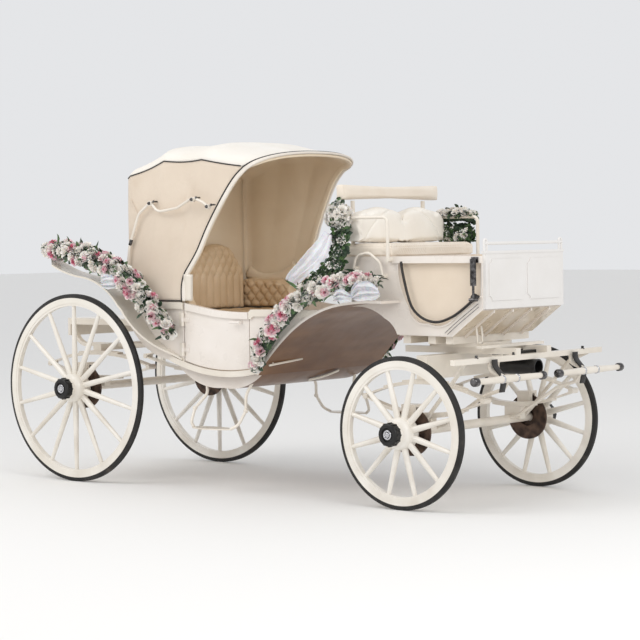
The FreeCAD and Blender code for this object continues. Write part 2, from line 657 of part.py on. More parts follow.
def seat_rail():
    x_post = BACK_BAR_FRONT - BACK_BAR_DEPTH / 2
    y_post = BOX_HALF - 55
    post = rod((x_post, y_post, CUSHION_TOP + SEAT_GAP), (x_post, y_post, BACK_BAR_LOW - SEAT_GAP), 12)
    rail = bent_rod([(x_post, y_post, CUSHION_TOP + 30), (x_post, ARM_RAIL_Y, CUSHION_TOP + 60),
                     (x_post, ARM_RAIL_Y, ARM_RAIL_Z), (SEAT_FRONT, ARM_RAIL_Y, ARM_RAIL_Z),
                     (SEAT_FRONT, ARM_RAIL_Y, SEAT_TOP - 24)], ARM_RAIL_RADIUS, 30)
    foot = rod((SEAT_FRONT, BOX_HALF + 12 + SEAT_GAP, SEAT_TOP - 19), (SEAT_FRONT, ARM_RAIL_Y + 8, SEAT_TOP - 19), 13)
    return fused([post, rail, foot])


save("seat_rails", both_sides(seat_rail()))

# Garlands: full ropes of flowers and leaves laid along the rear wings and the front sheet's edges, and
# a bunch with trailing ivy tied to each of the driver's seat rails

REAR_GARLAND = (
    # X, reach beyond the tub's side, Z, radius
    (-266, 44, 1414, 16), (-236, 62, 1402, 38), (-150, 112, 1366, 50), (12, 132, 1312, 58), (187, 128, 1260, 60),
    (359, 114, 1168, 62), (500, 88, 1042, 60), (620, 60, 924, 52), (712, 46, 854, 40), (746, 42, 834, 16),
)
FRONT_GARLAND = (
    # X, reach beyond the tub's side, Z, radius
    (1424, 30, 722, 16), (1442, 32, 754, 38), (1500, 38, 836, 48), (1590, 40, 938, 56), (1700, 34, 1032, 64),
    (1830, 20, 1110, 68), (1960, 5, 1152, 70), (2090, -20, 1174, 68), (2200, -40, 1170, 56), (2244, -48, 1164, 22),
)
SEAT_BUNCH = (
    # X ahead of the bunch's rail post, reach beyond the box's side, Z, radius
    (70, 62, 1206, 30), (58, 62, 1240, 44), (26, 59, 1310, 47), (-6, 58, 1390, 48), (-10, 59, 1470, 52),
    (-4, 61, 1550, 66), (-4, 62, 1610, 66), (-4, 62, 1655, 34),
)
FAR_BUNCH_AHEAD = 160
FAR_BUNCH_STEPS = 5
GARLAND_SIDES = 10


def garland(way):
    """A tapering rope through stations (X, Y, Z, radius), lofted between many-sided sections square to its way."""
    places = [V(*station[:3]) for station in way]
    sections = []
    for number, station in enumerate(way):
        along = places[min(number + 1, len(way) - 1)] - places[max(number - 1, 0)]
        over = along.cross(ACROSS).normalize() * station[3]
        out = over.cross(along).normalize() * station[3]
        ring = []
        for side in range(GARLAND_SIDES):
            angle = 2 * math.pi * (side + 0.5) / GARLAND_SIDES
            ring.append(places[number] + over * math.cos(angle) + out * math.sin(angle))
        sections.append(Part.makePolygon(ring + ring[:1]))
    return Part.makeLoft(sections, True, True)


def side_garland(stations):
    rope = garland([(x, TUB_HALF + reach, z, radius) for x, reach, z, radius in stations])
    return largest(rope.cut(fused([tub_outside, front_sheet, left_wing])).cut(Part.makeCompound(rails)))


def seat_bunch(stations, shift, carriers):
    post_x = BACK_BAR_FRONT - BACK_BAR_DEPTH / 2 + shift
    bunch = garland([(post_x + x, BOX_HALF + reach, z, radius) for x, reach, z, radius in stations])
    for carrier in carriers:
        bunch = bunch.cut(carrier)
    return largest(bunch)


front_garland = side_garland(FRONT_GARLAND)
bunch_carriers = [seat_rail(), grab_handle(), box_side(), front_garland, driver_cushion, driver_back(), back_bar]
save("rear_garlands", both_sides(side_garland(REAR_GARLAND)))
save("front_garlands", both_sides(front_garland))
save("seat_garland_right", mirrored(seat_bunch(SEAT_BUNCH, 0, bunch_carriers)))
save("seat_garland_left", seat_bunch(SEAT_BUNCH[-FAR_BUNCH_STEPS:], FAR_BUNCH_AHEAD, bunch_carriers))

# Passenger seat: bench, cushion, buttoned back and side pads

BENCH_FRONT = 860
BENCH_TOP = 930
BENCH_CUSHION = 110


def bench():
    half = TUB_HALF - WALL
    front = box(BENCH_FRONT - 18, BENCH_FRONT, -BELLY_HALF + WALL, BELLY_HALF - WALL, 640, BENCH_TOP - 18)
    top = box(400, BENCH_FRONT, -half + SEAT_GAP, half - SEAT_GAP, BENCH_TOP - 18, BENCH_TOP)
    return largest(fused([front, top]).cut(tub_shell))


save("bench", bench())
seat_back_x = TUB_BACK_X + WALL + SEAT_GAP
bench_cushion = box(seat_back_x + 70, BENCH_FRONT + 20, -TUB_HALF + WALL + 22, TUB_HALF - WALL - 22,
                    BENCH_TOP + SEAT_GAP, BENCH_TOP + BENCH_CUSHION)
bench_cushion = bench_cushion.makeFillet(30, top_edges(bench_cushion, BENCH_TOP + BENCH_CUSHION))
save("bench_cushion", bench_cushion)


def seat_back():
    half = TUB_HALF - WALL - 24
    low = BENCH_TOP + BENCH_CUSHION + SEAT_GAP
    lobe = half / 2 - 8
    outline = edges((-half, low), [(-half, 1235), (-half + 22, 1300, -half + 90, 1345), (-lobe, 1448, -60, 1408),
                                   (0, 1398, 60, 1408), (lobe, 1448, half - 90, 1345), (half - 22, 1300, half, 1235),
                                   (half, low), (-half, low)], front_view(seat_back_x))
    return Part.Face(Part.Wire(outline)).extrude(V(64, 0, 0))


save("seat_back", seat_back())


def side_pad():
    low = BENCH_TOP + BENCH_CUSHION + 4
    return plate((seat_back_x + 70, low), [(seat_back_x + 70, 1225), (700, 1215, 836, 1120), (848, 1070), (848, low)],
                 TUB_HALF - WALL - 20, TUB_HALF - WALL - SEAT_GAP)


save("side_pads", both_sides(side_pad()))

# Hood: canvas over bows, arched across, with a banded front edge and an S-shaped iron at each side

HOOD_SECTIONS = (
    # X, height of the sides, height of the shoulder, crown
    (HOOD_REAR, 1742, 1832, 1926),
    (HOOD_REAR + 300, 1808, 1908, 2016),
    (HOOD_REAR + 620, 1804, 1906, 2028),
    (HOOD_REAR + 1120, 1790, 1868, 1930),
)
EDGE_START = (778, HOOD_SEAT_Z)
EDGE_LINE = [(784, 1200, 818, 1265), (1010, 1546, 1219, 1792), (1310, 1880, 1470, 1975), (1560, 2020)]

PILLAR_START = (EDGE_START[0] + 10, HOOD_SEAT_Z + DOOR_GAP)
PILLAR_LINE = [(EDGE_START[0] + 76, HOOD_SEAT_Z + DOOR_GAP), (EDGE_START[0] + 78, 1200, EDGE_START[0] + 62, 1268),
               (EDGE_START[0] + 50, 1268), (EDGE_START[0] + 14, 1200)]


def hood_space(inset):
    wires = []
    for x, side, shoulder, crown in HOOD_SECTIONS:
        half = HOOD_HALF - inset
        low = HOOD_SEAT_Z + SEAT_GAP
        wires.append(Part.Wire(edges((-half, low), [
            (-half, side - inset), (-half + 12, shoulder - 40 - inset, -half + 48, shoulder - inset),
            (0, crown - inset, half - 48, shoulder - inset), (half - 12, shoulder - 40 - inset, half, side - inset),
            (half, low), (-half, low)], front_view(x + (inset if x == HOOD_REAR else 0)))))
    return Part.makeLoft(wires, True, False)


behind_edge = plate((HOOD_REAR - 50, 1000), [(EDGE_START[0], 1000), EDGE_START] + EDGE_LINE
                    + [(1560, 2100), (HOOD_REAR - 50, 2100)], -2 * HOOD_HALF, 2 * HOOD_HALF)
edge_band = ribbon(EDGE_START, EDGE_LINE, -BOW_WIDTH, -2 * HOOD_HALF, 2 * HOOD_HALF)
hood_outer, hood_inner = hood_space(0), hood_space(HOOD_THICKNESS)
canvas = hood_outer.cut(hood_inner).common(behind_edge)
bow = hood_outer.cut(hood_space(BOW_THICKNESS)).common(edge_band)
pillar = plate(PILLAR_START, PILLAR_LINE, HOOD_HALF - BOW_THICKNESS, HOOD_HALF)
bow = fused([bow, pillar, mirrored(pillar)])
save("hood_canvas", canvas)
save("hood_bow", bow)


def hood_iron():
    y = HOOD_HALF + 18
    path = [(382, y, 1300), (405, y, 1440), (484, y, 1630), (585, y, 1700), (640, y, 1640), (800, y, 1660),
            (930, y, 1720), (1010, y, 1690), (1050, y, 1664)]
    iron = bent_rod(path, 8, 70)
    knobs = [rod((x, y - 12, z), (x, y + 12, z), 15) for x, z in ((585, 1692), (930, 1708), (1050, 1664))]
    pins = [rod((x, HOOD_HALF + SEAT_GAP, z), (x, y, z), 7) for x, z in ((382, 1300), (585, 1692), (1050, 1664))]
    return fused([iron] + knobs + pins)


save("hood_irons", both_sides(hood_iron()))

# Steps: a pierced oval tread hung on two forged irons below each door

BELLY_Z = 640


def step():
    tread = Part.Face(Part.Wire([Part.Ellipse(V(0, 0, 0), STEP_LONG, STEP_SHORT).toShape()]))
    tread = tread.extrude(V(0, 0, 8))
    slots = [box(x - 5, x + 5, -30, 30, -1, 9) for x in range(-90, 91, 30)]
    tread = tread.cut(Part.makeCompound(slots))
    tread.translate(V(STEP_X, STEP_Y, STEP_Z))
    pieces = [tread]
    for side in (-1, 1):
        path = [(STEP_X + side * 190, BELLY_HALF - 30, BELLY_Z + 20), (STEP_X + side * 150, BELLY_HALF, 565),
                (STEP_X + side * 200, STEP_Y - 72, 480), (STEP_X + side * 186, STEP_Y - 22, 400),
                (STEP_X + side * (STEP_LONG - 8), STEP_Y, STEP_Z + 4)]
        pieces.append(bent_rod(path, STEP_ROD, 60))
        pieces.append(Part.makeSphere(STEP_ROD + 5, V(*path[2])).cut(tub_outside))
    return fused(pieces).cut(tub_outside)


save("steps", both_sides(step()))

# Rear body irons: a beam over the springs and two forged bars up to the tub, with a rear platform

PLATFORM_Z = 985
PLATFORM_REAR = -392
BODY_IRON_Y = 300
PLATFORM_HALF = BODY_IRON_Y + 30


def rear_irons():
    top = REAR_SPRING_TOP
    beam = box(-34, 34, -SPRING_Y - 30, SPRING_Y + 30, top, top + 40)
    pieces = [beam]
    for side in (-1, 1):
        y = side * BODY_IRON_Y
        pieces.append(ribbon((-350, PLATFORM_Z - 40), [(-318, 862, -200, top + 40), (0, top + 40), (300, top + 40),
                                                       (620, top + 60)], -22, y - 16, y + 16))
    return fused(pieces).cut(tub_outside)


def rear_platform():
    tray = box(PLATFORM_REAR, TUB_BACK_X - 24, -PLATFORM_HALF, PLATFORM_HALF, PLATFORM_Z - 40, PLATFORM_Z)
    rear = box(PLATFORM_REAR, PLATFORM_REAR + 22, -PLATFORM_HALF, PLATFORM_HALF, PLATFORM_Z - 110, PLATFORM_Z - 40)
    return tray.fuse(rear).removeSplitter()


save("rear_irons", rear_irons().cut(rear_platform()))
save("rear_platform", rear_platform())

# Turntable: the upper plate under the box, the lower one on the forecarriage


def turntable_plate(z):
    ring = Part.makeCylinder(TURNTABLE_RADIUS, PLATE_THICKNESS, V(WHEELBASE, 0, z))
    hole = Part.makeCylinder(TURNTABLE_RADIUS - TURNTABLE_WIDTH, PLATE_THICKNESS, V(WHEELBASE, 0, z))
    cross = [box(WHEELBASE - TURNTABLE_RADIUS + 10, WHEELBASE + TURNTABLE_RADIUS - 10, -30, 30, z, z + PLATE_THICKNESS),
             box(WHEELBASE - 30, WHEELBASE + 30, -TURNTABLE_RADIUS + 10, TURNTABLE_RADIUS - 10, z, z + PLATE_THICKNESS)]
    return fused([ring.cut(hole)] + cross)


def turntable_top():
    low = TURNTABLE_Z + PLATE_THICKNESS + SEAT_GAP
    plate_top = turntable_plate(low)
    blocks = [box(WHEELBASE + x - 25, WHEELBASE + x + 25, -BOX_HALF + BOX_WALL, BOX_HALF - BOX_WALL,
                  low + PLATE_THICKNESS, BOX_FLOOR_Z - 4) for x in (-170, 0, 120)]
    pin = rod((WHEELBASE, 0, TURNTABLE_Z - 60), (WHEELBASE, 0, low + PLATE_THICKNESS), KINGPIN_RADIUS)
    return fused([plate_top, pin] + blocks)


FUTCHELL_TOP = TURNTABLE_Z
FUTCHELL_LOW = TURNTABLE_Z - FUTCHELL_DEPTH


def turntable_bottom():
    lower = turntable_plate(TURNTABLE_Z)
    futchells = [box(WHEELBASE - FUTCHELL_REAR, SPLINTER_X + SPLINTER_WIDTH / 2, y - FUTCHELL_WIDTH / 2,
                     y + FUTCHELL_WIDTH / 2, FUTCHELL_LOW, FUTCHELL_TOP) for y in (-FUTCHELL_Y, FUTCHELL_Y)]
    bolster = box(WHEELBASE - 36, WHEELBASE + 36, -SPRING_Y - 30, SPRING_Y + 30, FRONT_SPRING_TOP, FUTCHELL_LOW)
    middle = box(WHEELBASE - 36, WHEELBASE + 36, -FUTCHELL_Y, FUTCHELL_Y, FUTCHELL_LOW, FUTCHELL_TOP)
    bar = box(SPLINTER_X - 150, SPLINTER_X - 110, -300, 300, FUTCHELL_TOP, FUTCHELL_TOP + 16)
    hole = rod((WHEELBASE, 0, TURNTABLE_Z - 70), (WHEELBASE, 0, TURNTABLE_Z + 40), KINGPIN_RADIUS + BEARING_CLEARANCE)
    return fused([lower, bolster, middle, bar] + futchells).cut(hole)


save("turntable_top", turntable_top())
save("turntable_bottom", turntable_bottom())

SPLINTER_TOP = FUTCHELL_LOW


def splinter_bar():
    profile = [V(SPLINTER_X - SPLINTER_WIDTH / 2, -SPLINTER_HALF, 0), V(SPLINTER_X + 8, -SPLINTER_HALF, 0),
               V(SPLINTER_X + SPLINTER_WIDTH / 2, -200, 0), V(SPLINTER_X + SPLINTER_WIDTH / 2, 200, 0),
               V(SPLINTER_X + 8, SPLINTER_HALF, 0), V(SPLINTER_X - SPLINTER_WIDTH / 2, SPLINTER_HALF, 0)]
    face = Part.Face(Part.makePolygon(profile + profile[:1]))
    bar = face.extrude(V(0, 0, SPLINTER_DEPTH))
    bar.translate(V(0, 0, SPLINTER_TOP - SPLINTER_DEPTH))
    stays = []
    for side in (-1, 1):
        stays.append(bent_rod([(SPLINTER_X - 12, side * (SPLINTER_HALF - 120), SPLINTER_TOP - SPLINTER_DEPTH + 4),
                               (SPLINTER_X - 90, side * (SPLINTER_HALF - 190), SPLINTER_TOP - SPLINTER_DEPTH - 40),
                               (WHEELBASE + 60, side * (SPRING_Y + 86), FRONT_RADIUS + 60),
                               (WHEELBASE + 10, side * (SPRING_Y + 86), FRONT_RADIUS + 12)], 11, 60))
    return fused([bar] + stays)


save("splinter_bar", splinter_bar().cut(axle(WHEELBASE, FRONT_RADIUS, FRONT_SADDLE_HEIGHT)))


def swingletree():
    """One swingletree with its two hanging straps, in front of and below the splinter bar."""
    x = SPLINTER_X + SWINGLE_REACH
    z = SPLINTER_TOP - SPLINTER_DEPTH / 2 - SWINGLE_DROP
    half = SWINGLE_HALF
    pieces = []
    for side in (-1, 1):
        pieces.append(rod((x, SWINGLE_Y, z), (x, SWINGLE_Y + side * half, z), SWINGLE_RADIUS, SWINGLE_TIP_RADIUS))
        pieces.append(rod((x, SWINGLE_Y + side * (half - 26), z), (x, SWINGLE_Y + side * half, z), SWINGLE_RADIUS))
    strap_out = bent_rod([(SPLINTER_X + 6, SWINGLE_Y, SPLINTER_TOP - SPLINTER_DEPTH - SEAT_GAP),
                          (SPLINTER_X + 6, SWINGLE_Y, SPLINTER_TOP - SPLINTER_DEPTH - 40),
                          (x - 30, SWINGLE_Y, z + 4), (x, SWINGLE_Y, z)], 13, 40)
    y = SWINGLE_Y - 40
    stay = bent_rod([(x - 30, y, z), (x - 60, y, z - 60), (SPLINTER_X - 60, y, z - 100),
                     (WHEELBASE + 80, y, FRONT_RADIUS + 30), (WHEELBASE + 20, y, FRONT_RADIUS + 10)], 10, 60)
    hub = rod((x - 34, y, z), (x, y, z), 12)
    return fused(pieces + [strap_out, stay, hub])


save("swingletrees", both_sides(swingletree().cut(axle(WHEELBASE, FRONT_RADIUS, FRONT_SADDLE_HEIGHT))))


def pole_socket():
    z = SPLINTER_TOP - SPLINTER_DEPTH - SEAT_GAP - POLE_BORE_RADIUS - POLE_SOCKET_WALL
    front = SPLINTER_X + SPLINTER_WIDTH / 2 + 30
    rear = front - POLE_SOCKET_LENGTH
    tube = rod((rear, 0, z), (front, 0, z), POLE_BORE_RADIUS + POLE_SOCKET_WALL)
    hangers = [box(x, x + 30, -FUTCHELL_Y + FUTCHELL_WIDTH / 2, FUTCHELL_Y - FUTCHELL_WIDTH / 2, FUTCHELL_LOW - 6,
                   FUTCHELL_LOW + 14) for x in (rear + 10, front - 130)]
    lugs = [box(x, x + 30, -24, 24, z + POLE_BORE_RADIUS, FUTCHELL_LOW) for x in (rear + 10, front - 130)]
    return fused([tube] + hangers + lugs).cut(rod((rear, 0, z), (front, 0, z), POLE_BORE_RADIUS))


save("pole_socket", pole_socket())
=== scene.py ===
import json
import random
from math import copysign, cos, pi, radians, sin, sqrt

import bmesh
import bpy
import numpy as np
from mathutils import Matrix, Vector


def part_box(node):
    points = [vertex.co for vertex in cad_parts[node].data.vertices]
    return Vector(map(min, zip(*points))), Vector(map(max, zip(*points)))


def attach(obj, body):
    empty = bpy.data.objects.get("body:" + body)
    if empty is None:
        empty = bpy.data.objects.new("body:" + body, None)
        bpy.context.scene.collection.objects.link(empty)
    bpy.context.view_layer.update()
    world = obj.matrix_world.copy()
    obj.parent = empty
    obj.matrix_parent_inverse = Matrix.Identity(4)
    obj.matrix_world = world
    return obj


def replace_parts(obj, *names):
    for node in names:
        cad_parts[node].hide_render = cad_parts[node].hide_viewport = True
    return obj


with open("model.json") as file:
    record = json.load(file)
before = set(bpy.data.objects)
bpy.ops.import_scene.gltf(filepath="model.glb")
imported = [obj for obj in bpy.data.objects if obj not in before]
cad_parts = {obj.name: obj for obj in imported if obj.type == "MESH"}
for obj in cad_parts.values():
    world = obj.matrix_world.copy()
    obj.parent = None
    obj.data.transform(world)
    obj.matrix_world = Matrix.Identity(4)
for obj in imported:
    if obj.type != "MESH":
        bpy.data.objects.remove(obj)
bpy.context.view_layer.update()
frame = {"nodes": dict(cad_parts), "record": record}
NODES = frame["nodes"]
SCENE = bpy.context.scene

# Places below are given like the drawings of the part: millimetres, X from the rear axle, Y to the
# left, Z from the ground. at() turns them into the frame's metres.

TURN = 2 * pi
REAR_AXLE_X = sum(corner.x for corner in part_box("wheel_rear_left")) / 2


def at(x, y, z):
    return Vector((REAR_AXLE_X + x / 1000, y / 1000, z / 1000))


# ---- materials


def srgb(red, green, blue):
    """A colour as the screen shows it, 0 to 255, in the linear values that shaders use."""
    linear = [((c / 255 + 0.055) / 1.055) ** 2.4 if c > 10 else c / 3294 for c in (red, green, blue)]
    return (*linear, 1)


LOOKS = {}


class Shader:
    """A Principled material with its nodes added by short calls, kept in LOOKS under its name."""

    def __init__(self, name, roughness=0.5, **sockets):
        self.material = bpy.data.materials.new(name)
        self.material.use_nodes = True
        LOOKS[name] = self.material
        self.tree = self.material.node_tree
        self.out = self.tree.nodes["Principled BSDF"]
        self.coordinates = self.tree.nodes.new("ShaderNodeTexCoord").outputs["Object"]
        self.set("Roughness", roughness)
        for socket, value in sockets.items():
            self.set(socket.replace("_", " "), value)
        self.height = None

    def set(self, socket, value):
        if isinstance(value, bpy.types.NodeSocket):
            self.tree.links.new(value, self.out.inputs[socket])
        else:
            self.out.inputs[socket].default_value = value

    def node(self, kind, inputs=(), **settings):
        made = self.tree.nodes.new("ShaderNode" + kind)
        for setting, value in settings.items():
            setattr(made, setting, value)
        for key, value in dict(inputs).items():
            if isinstance(value, bpy.types.NodeSocket):
                self.tree.links.new(value, made.inputs[key])
            else:
                made.inputs[key].default_value = value
        return made

    def noise(self, scale, detail=3.0, stretch=(1, 1, 1), distortion=0.0):
        where = self.node("Mapping", {"Vector": self.coordinates, "Scale": stretch}).outputs[0]
        return self.node("TexNoise", {"Vector": where, "Scale": scale, "Detail": detail,
                                      "Distortion": distortion}).outputs["Fac"]

    def cells(self, scale, feature="F1"):
        made = self.node("TexVoronoi", {"Vector": self.coordinates, "Scale": scale}, feature=feature)
        return made.outputs["Distance"]

    def ramp(self, value, stops):
        """Places with screen colours or greys along a value from 0 to 1."""
        made = self.node("ValToRGB", {"Fac": value})
        points = made.color_ramp.elements
        for number, (place, tone) in enumerate(stops):
            point = points[number] if number < 2 else points.new(place)
            point.position = place
            point.color = srgb(*tone) if isinstance(tone, tuple) else (tone, tone, tone, 1)
        return made.outputs["Color"]

    def mix(self, share, a, b):
        b = srgb(*b) if isinstance(b, tuple) else b
        return self.node("Mix", {0: share, 6: a, 7: b}, data_type="RGBA").outputs[2]

    def math(self, operation, a, b=0.0):
        return self.node("Math", {0: a, 1: b}, operation=operation).outputs[0]

    def place(self, axis, normal=False):
        """One coordinate of the point, or of the surface's direction."""
        source = self.node("NewGeometry").outputs["Normal"] if normal else self.coordinates
        return self.node("SeparateXYZ", {"Vector": source}).outputs[axis]

    def bump(self, height, strength, distance):
        sockets = {"Height": height, "Strength": strength, "Distance": distance}
        if self.height is not None:
            sockets["Normal"] = self.height
        self.height = self.node("Bump", sockets).outputs["Normal"]
        self.set("Normal", self.height)


def gloss_paint(name, colour, shade, roughness=0.24, coat=0.6, under=None):
    """Sprayed gloss paint: faint clouding, orange peel, road dust low down and, where under is given, a
    painted shade and reflection of the ground on faces that look down.
    """
    s = Shader(name, Coat_Weight=coat, Coat_Roughness=0.08, Specular_IOR_Level=0.5)
    cloud = s.ramp(s.noise(2.2, 4), [(0.3, shade), (0.7, colour)])
    dust = s.math("MULTIPLY", s.ramp(s.noise(7, 6), [(0.35, 0.0), (0.75, 1.0)]),
                  s.ramp(s.place("Z"), [(0.25, 0.42), (1.1, 0.05)]))
    painted = s.mix(dust, cloud, (176, 160, 138))
    # Faces that look down take the under colours: a painted shade and painted reflection of the ground, not
    # a colour of the paint.
    if under:
        underside_shade_share = s.ramp(s.math("MULTIPLY", s.place("Z", True), -1.0), [(0.10, 0.0), (0.34, 1.0)])
        painted_underside_shade = s.ramp(s.noise(5, 5, (1, 0.5, 2)), [(0.3, under[0]), (0.7, under[1])])
        painted = s.mix(underside_shade_share, painted, painted_underside_shade)
    s.set("Base Color", painted)
    s.set("Roughness", s.ramp(s.noise(11, 5), [(0.3, roughness), (0.75, roughness + 0.12)]))
    s.bump(s.noise(160, 2), 0.05, 0.001)
    return s.material


IVORY, IVORY_SHADE = (240, 233, 226), (231, 222, 212)
gloss_paint("body_paint", IVORY, IVORY_SHADE)
# The front sheet's and the tub's faces that look down get a painted brown shade and reflection of the
# ground.
sheet_paint = gloss_paint("sheet_paint", IVORY, IVORY_SHADE, 0.32, 0.2, ((96, 62, 34), (124, 88, 56)))
# The driver's box's faces that look down, the toe among them, get a paler painted shade.
box_paint = gloss_paint("box_paint", IVORY, IVORY_SHADE, under=((196, 178, 152), (220, 206, 186)))
ivory_paint = gloss_paint("ivory_paint", (238, 231, 220), (227, 218, 204), 0.3, 0.4)
gloss_paint("wheel_paint", (242, 238, 231), (233, 227, 216), 0.34, 0.3)
dash_paint = gloss_paint("dash_paint", (233, 230, 227), (226, 223, 219), 0.3, 0.4)


def plain_metal(name, colour, shade, metallic, roughness, scale=24, grain=0.15):
    s = Shader(name, Metallic=metallic)
    s.set("Base Color", s.ramp(s.noise(scale, 6), [(0.35, shade), (0.65, colour)]))
    s.set("Roughness", s.ramp(s.noise(scale * 2, 4), [(0.3, roughness * 0.8), (0.7, roughness * 1.3)]))
    s.bump(s.noise(scale * 9, 4), grain, 0.001)
    return s.material


plain_metal("black_metal", (38, 37, 36), (24, 23, 23), 0.3, 0.34)
plain_metal("rusty_iron", (104, 84, 72), (52, 40, 34), 0.55, 0.62, 30, 0.6)
dark_steel = plain_metal("dark_steel", (120, 118, 118), (58, 56, 56), 0.9, 0.24, 40, 0.05)
bright_metal = plain_metal("bright_metal", (206, 206, 208), (188, 188, 192), 1.0, 0.16, 40, 0.03)


def rubber():
    s = Shader("tyre_rubber")
    dust = [(0.35, (27, 26, 26)), (0.62, (38, 36, 34)), (0.85, (86, 78, 70))]
    s.set("Base Color", s.ramp(s.noise(9, 6), dust))
    s.set("Roughness", s.ramp(s.noise(14, 4), [(0.3, 0.55), (0.7, 0.85)]))
    s.bump(s.noise(220, 3), 0.25, 0.001)
    return s.material


rubber()


def leather(name, colour, shade, roughness=0.42, grain=260, strength=0.28):
    s = Shader(name, Specular_IOR_Level=0.45, Coat_Weight=0.12, Coat_Roughness=0.3)
    s.set("Base Color", s.mix(s.ramp(s.cells(grain * 0.8), [(0.0, 0.0), (0.7, 0.22)]),
                              s.ramp(s.noise(6, 5), [(0.3, shade), (0.7, colour)]), shade))
    s.set("Roughness", s.ramp(s.noise(30, 4), [(0.3, roughness * 0.85), (0.7, roughness * 1.2)]))
    s.bump(s.noise(14, 4, distortion=0.6), 0.18, 0.006)
    s.bump(s.cells(grain, "DISTANCE_TO_EDGE"), strength, 0.0012)
    return s.material


cream_leather = leather("cream_leather", (240, 230, 216), (230, 217, 200))
lobe_leather = leather("lobe_leather", (249, 244, 235), (242, 235, 224))
tan_leather = leather("tan_leather", (236, 212, 180), (216, 189, 153), 0.4)
leather("lining", (234, 219, 200), (225, 209, 189), 0.5, 200, 0.2)


def cloth(name, colour, shade, threads, strength=0.35, roughness=0.82, sheen=0.25, stains=None):
    """Woven cloth: crossed threads, broad clouding and, where wanted, weather stains."""
    s = Shader(name, roughness, Sheen_Weight=sheen, Sheen_Roughness=0.5)
    tone = s.ramp(s.noise(3.2, 6, distortion=0.4), [(0.3, shade), (0.68, colour)])
    if stains:
        tone = s.mix(s.ramp(s.noise(5.5, 8, (1, 1, 0.6), 0.8), [(0.56, 0.0), (0.8, 0.4)]), tone, stains)
    waves = [s.node("TexWave", {"Vector": s.coordinates, "Scale": threads, "Distortion": 0.3, "Detail": 1.0},
                    bands_direction=axis).outputs["Fac"] for axis in "XYZ"]
    weave = s.math("ADD", s.math("ADD", waves[0], waves[1]), waves[2])
    s.set("Base Color", tone)
    s.bump(s.noise(9, 5, distortion=0.5), 0.22, 0.01)
    s.bump(weave, strength, 0.0008)
    return s.material


hood_cloth = cloth("hood_cloth", (229, 214, 196), (219, 203, 184), 190, stains=(206, 184, 160))
band_cloth = cloth("band_cloth", (240, 233, 224), (229, 220, 208), 240, 0.2)
# The roof cloth is whiter than the sides: in part a whiter cloth, in part painted light, as the roof faces
# the sky.
roof_cloth = cloth("roof_cloth", (247, 243, 236), (240, 233, 222), 190)
head_lining = cloth("head_lining", (244, 229, 205), (233, 215, 189), 240, 0.2)
piping = leather("piping", (44, 40, 38), (30, 27, 26), 0.5, 320, 0.2)
LOOKS["flowers"] = cloth("flower_mass", (206, 202, 190), (88, 112, 74), 90)

# Sub-parts that don't look like the rest of their slot.
OWN_LOOKS = {"drivers_box": box_paint, "front_sheet": sheet_paint, "tub_shell": sheet_paint,
             "dash": dash_paint, "brake_pump": dark_steel}

for subpart in frame["record"]["subparts"]:
    name = subpart["node"]
    shown = NODES[name]
    shown.data.materials.clear()
    shown.data.materials.append(OWN_LOOKS.get(name, LOOKS[subpart["material_slot"]]))

# ---- camera, floor and light

# Angles in degrees, sensor and lens in millimetres, the floor and the lights in metres.
CAMERA_PLACE = at(9431, -9697, 1490)
YAW, PITCH, ROLL = 39.58, 2.30, 0.82
SENSOR, LENS = 36, 119.25
FLOOR_HALF = 60
SKY, SKY_STRENGTH = (0.93, 0.94, 0.96, 1), 0.84
LIGHTS = (
    # name, place, target, size, energy, colour
    ("key", (-3.5, -6.5, 7.5), (0, 0, 0.9), 5.0, 270, (1, 0.98, 0.95)),
    ("front", (7.5, -3.5, 5.0), (0.6, 0, 0.8), 4.0, 190, (1, 0.99, 0.97)),
)


def aim_camera():
    yaw, pitch, roll = radians(YAW), radians(PITCH), radians(ROLL)
    ahead = Vector((-sin(yaw) * cos(pitch), cos(yaw) * cos(pitch), -sin(pitch)))
    right = ahead.cross(Vector((0, 0, 1))).normalized()
    up = right.cross(ahead)
    turn = Matrix.Rotation(roll, 3, ahead)
    right, up = turn @ right, turn @ up
    data = bpy.data.cameras.new("camera")
    data.sensor_width = SENSOR
    data.lens = LENS
    data.clip_end = 200
    camera = bpy.data.objects.new("camera", data)
    SCENE.collection.objects.link(camera)
    axes = Matrix((right, up, -ahead)).transposed()
    camera.matrix_world = Matrix.Translation(CAMERA_PLACE) @ axes.to_4x4()
    SCENE.camera = camera


def area_light(name, place, target, size, energy, colour):
    data = bpy.data.lights.new(name, "AREA")
    data.size, data.energy, data.color = size, energy, colour
    light = bpy.data.objects.new(name, data)
    SCENE.collection.objects.link(light)
    light.location = place
    light.rotation_euler = (Vector(target) - Vector(place)).to_track_quat("-Z", "Y").to_euler()


def studio():
    far = FLOOR_HALF
    mesh = bpy.data.meshes.new("floor")
    mesh.from_pydata([(-far, -far, 0), (far, -far, 0), (far, far, 0), (-far, far, 0)], [], [(0, 1, 2, 3)])
    floor = bpy.data.objects.new("floor", mesh)
    SCENE.collection.objects.link(floor)
    s = Shader("floor", 0.85)
    s.set("Base Color", srgb(240, 239, 237))
    mesh.materials.append(s.material)
    world = bpy.data.worlds.new("studio")
    world.use_nodes = True
    background = world.node_tree.nodes["Background"]
    background.inputs["Color"].default_value = SKY
    background.inputs["Strength"].default_value = SKY_STRENGTH
    SCENE.world = world
    for light in LIGHTS:
        area_light(*light)
    SCENE.view_settings.view_transform = "Standard"


aim_camera()
studio()

# ---- mesh helpers


def face_outward(mesh, weld=0.0):
    """Turns a mesh's faces outward, after joining points less than weld metres apart."""
    whole = bmesh.new()
    whole.from_mesh(mesh)
    if weld:
        bmesh.ops.remove_doubles(whole, verts=whole.verts, dist=weld)
    bmesh.ops.recalc_face_normals(whole, faces=whole.faces)
    whole.to_mesh(mesh)
    whole.free()


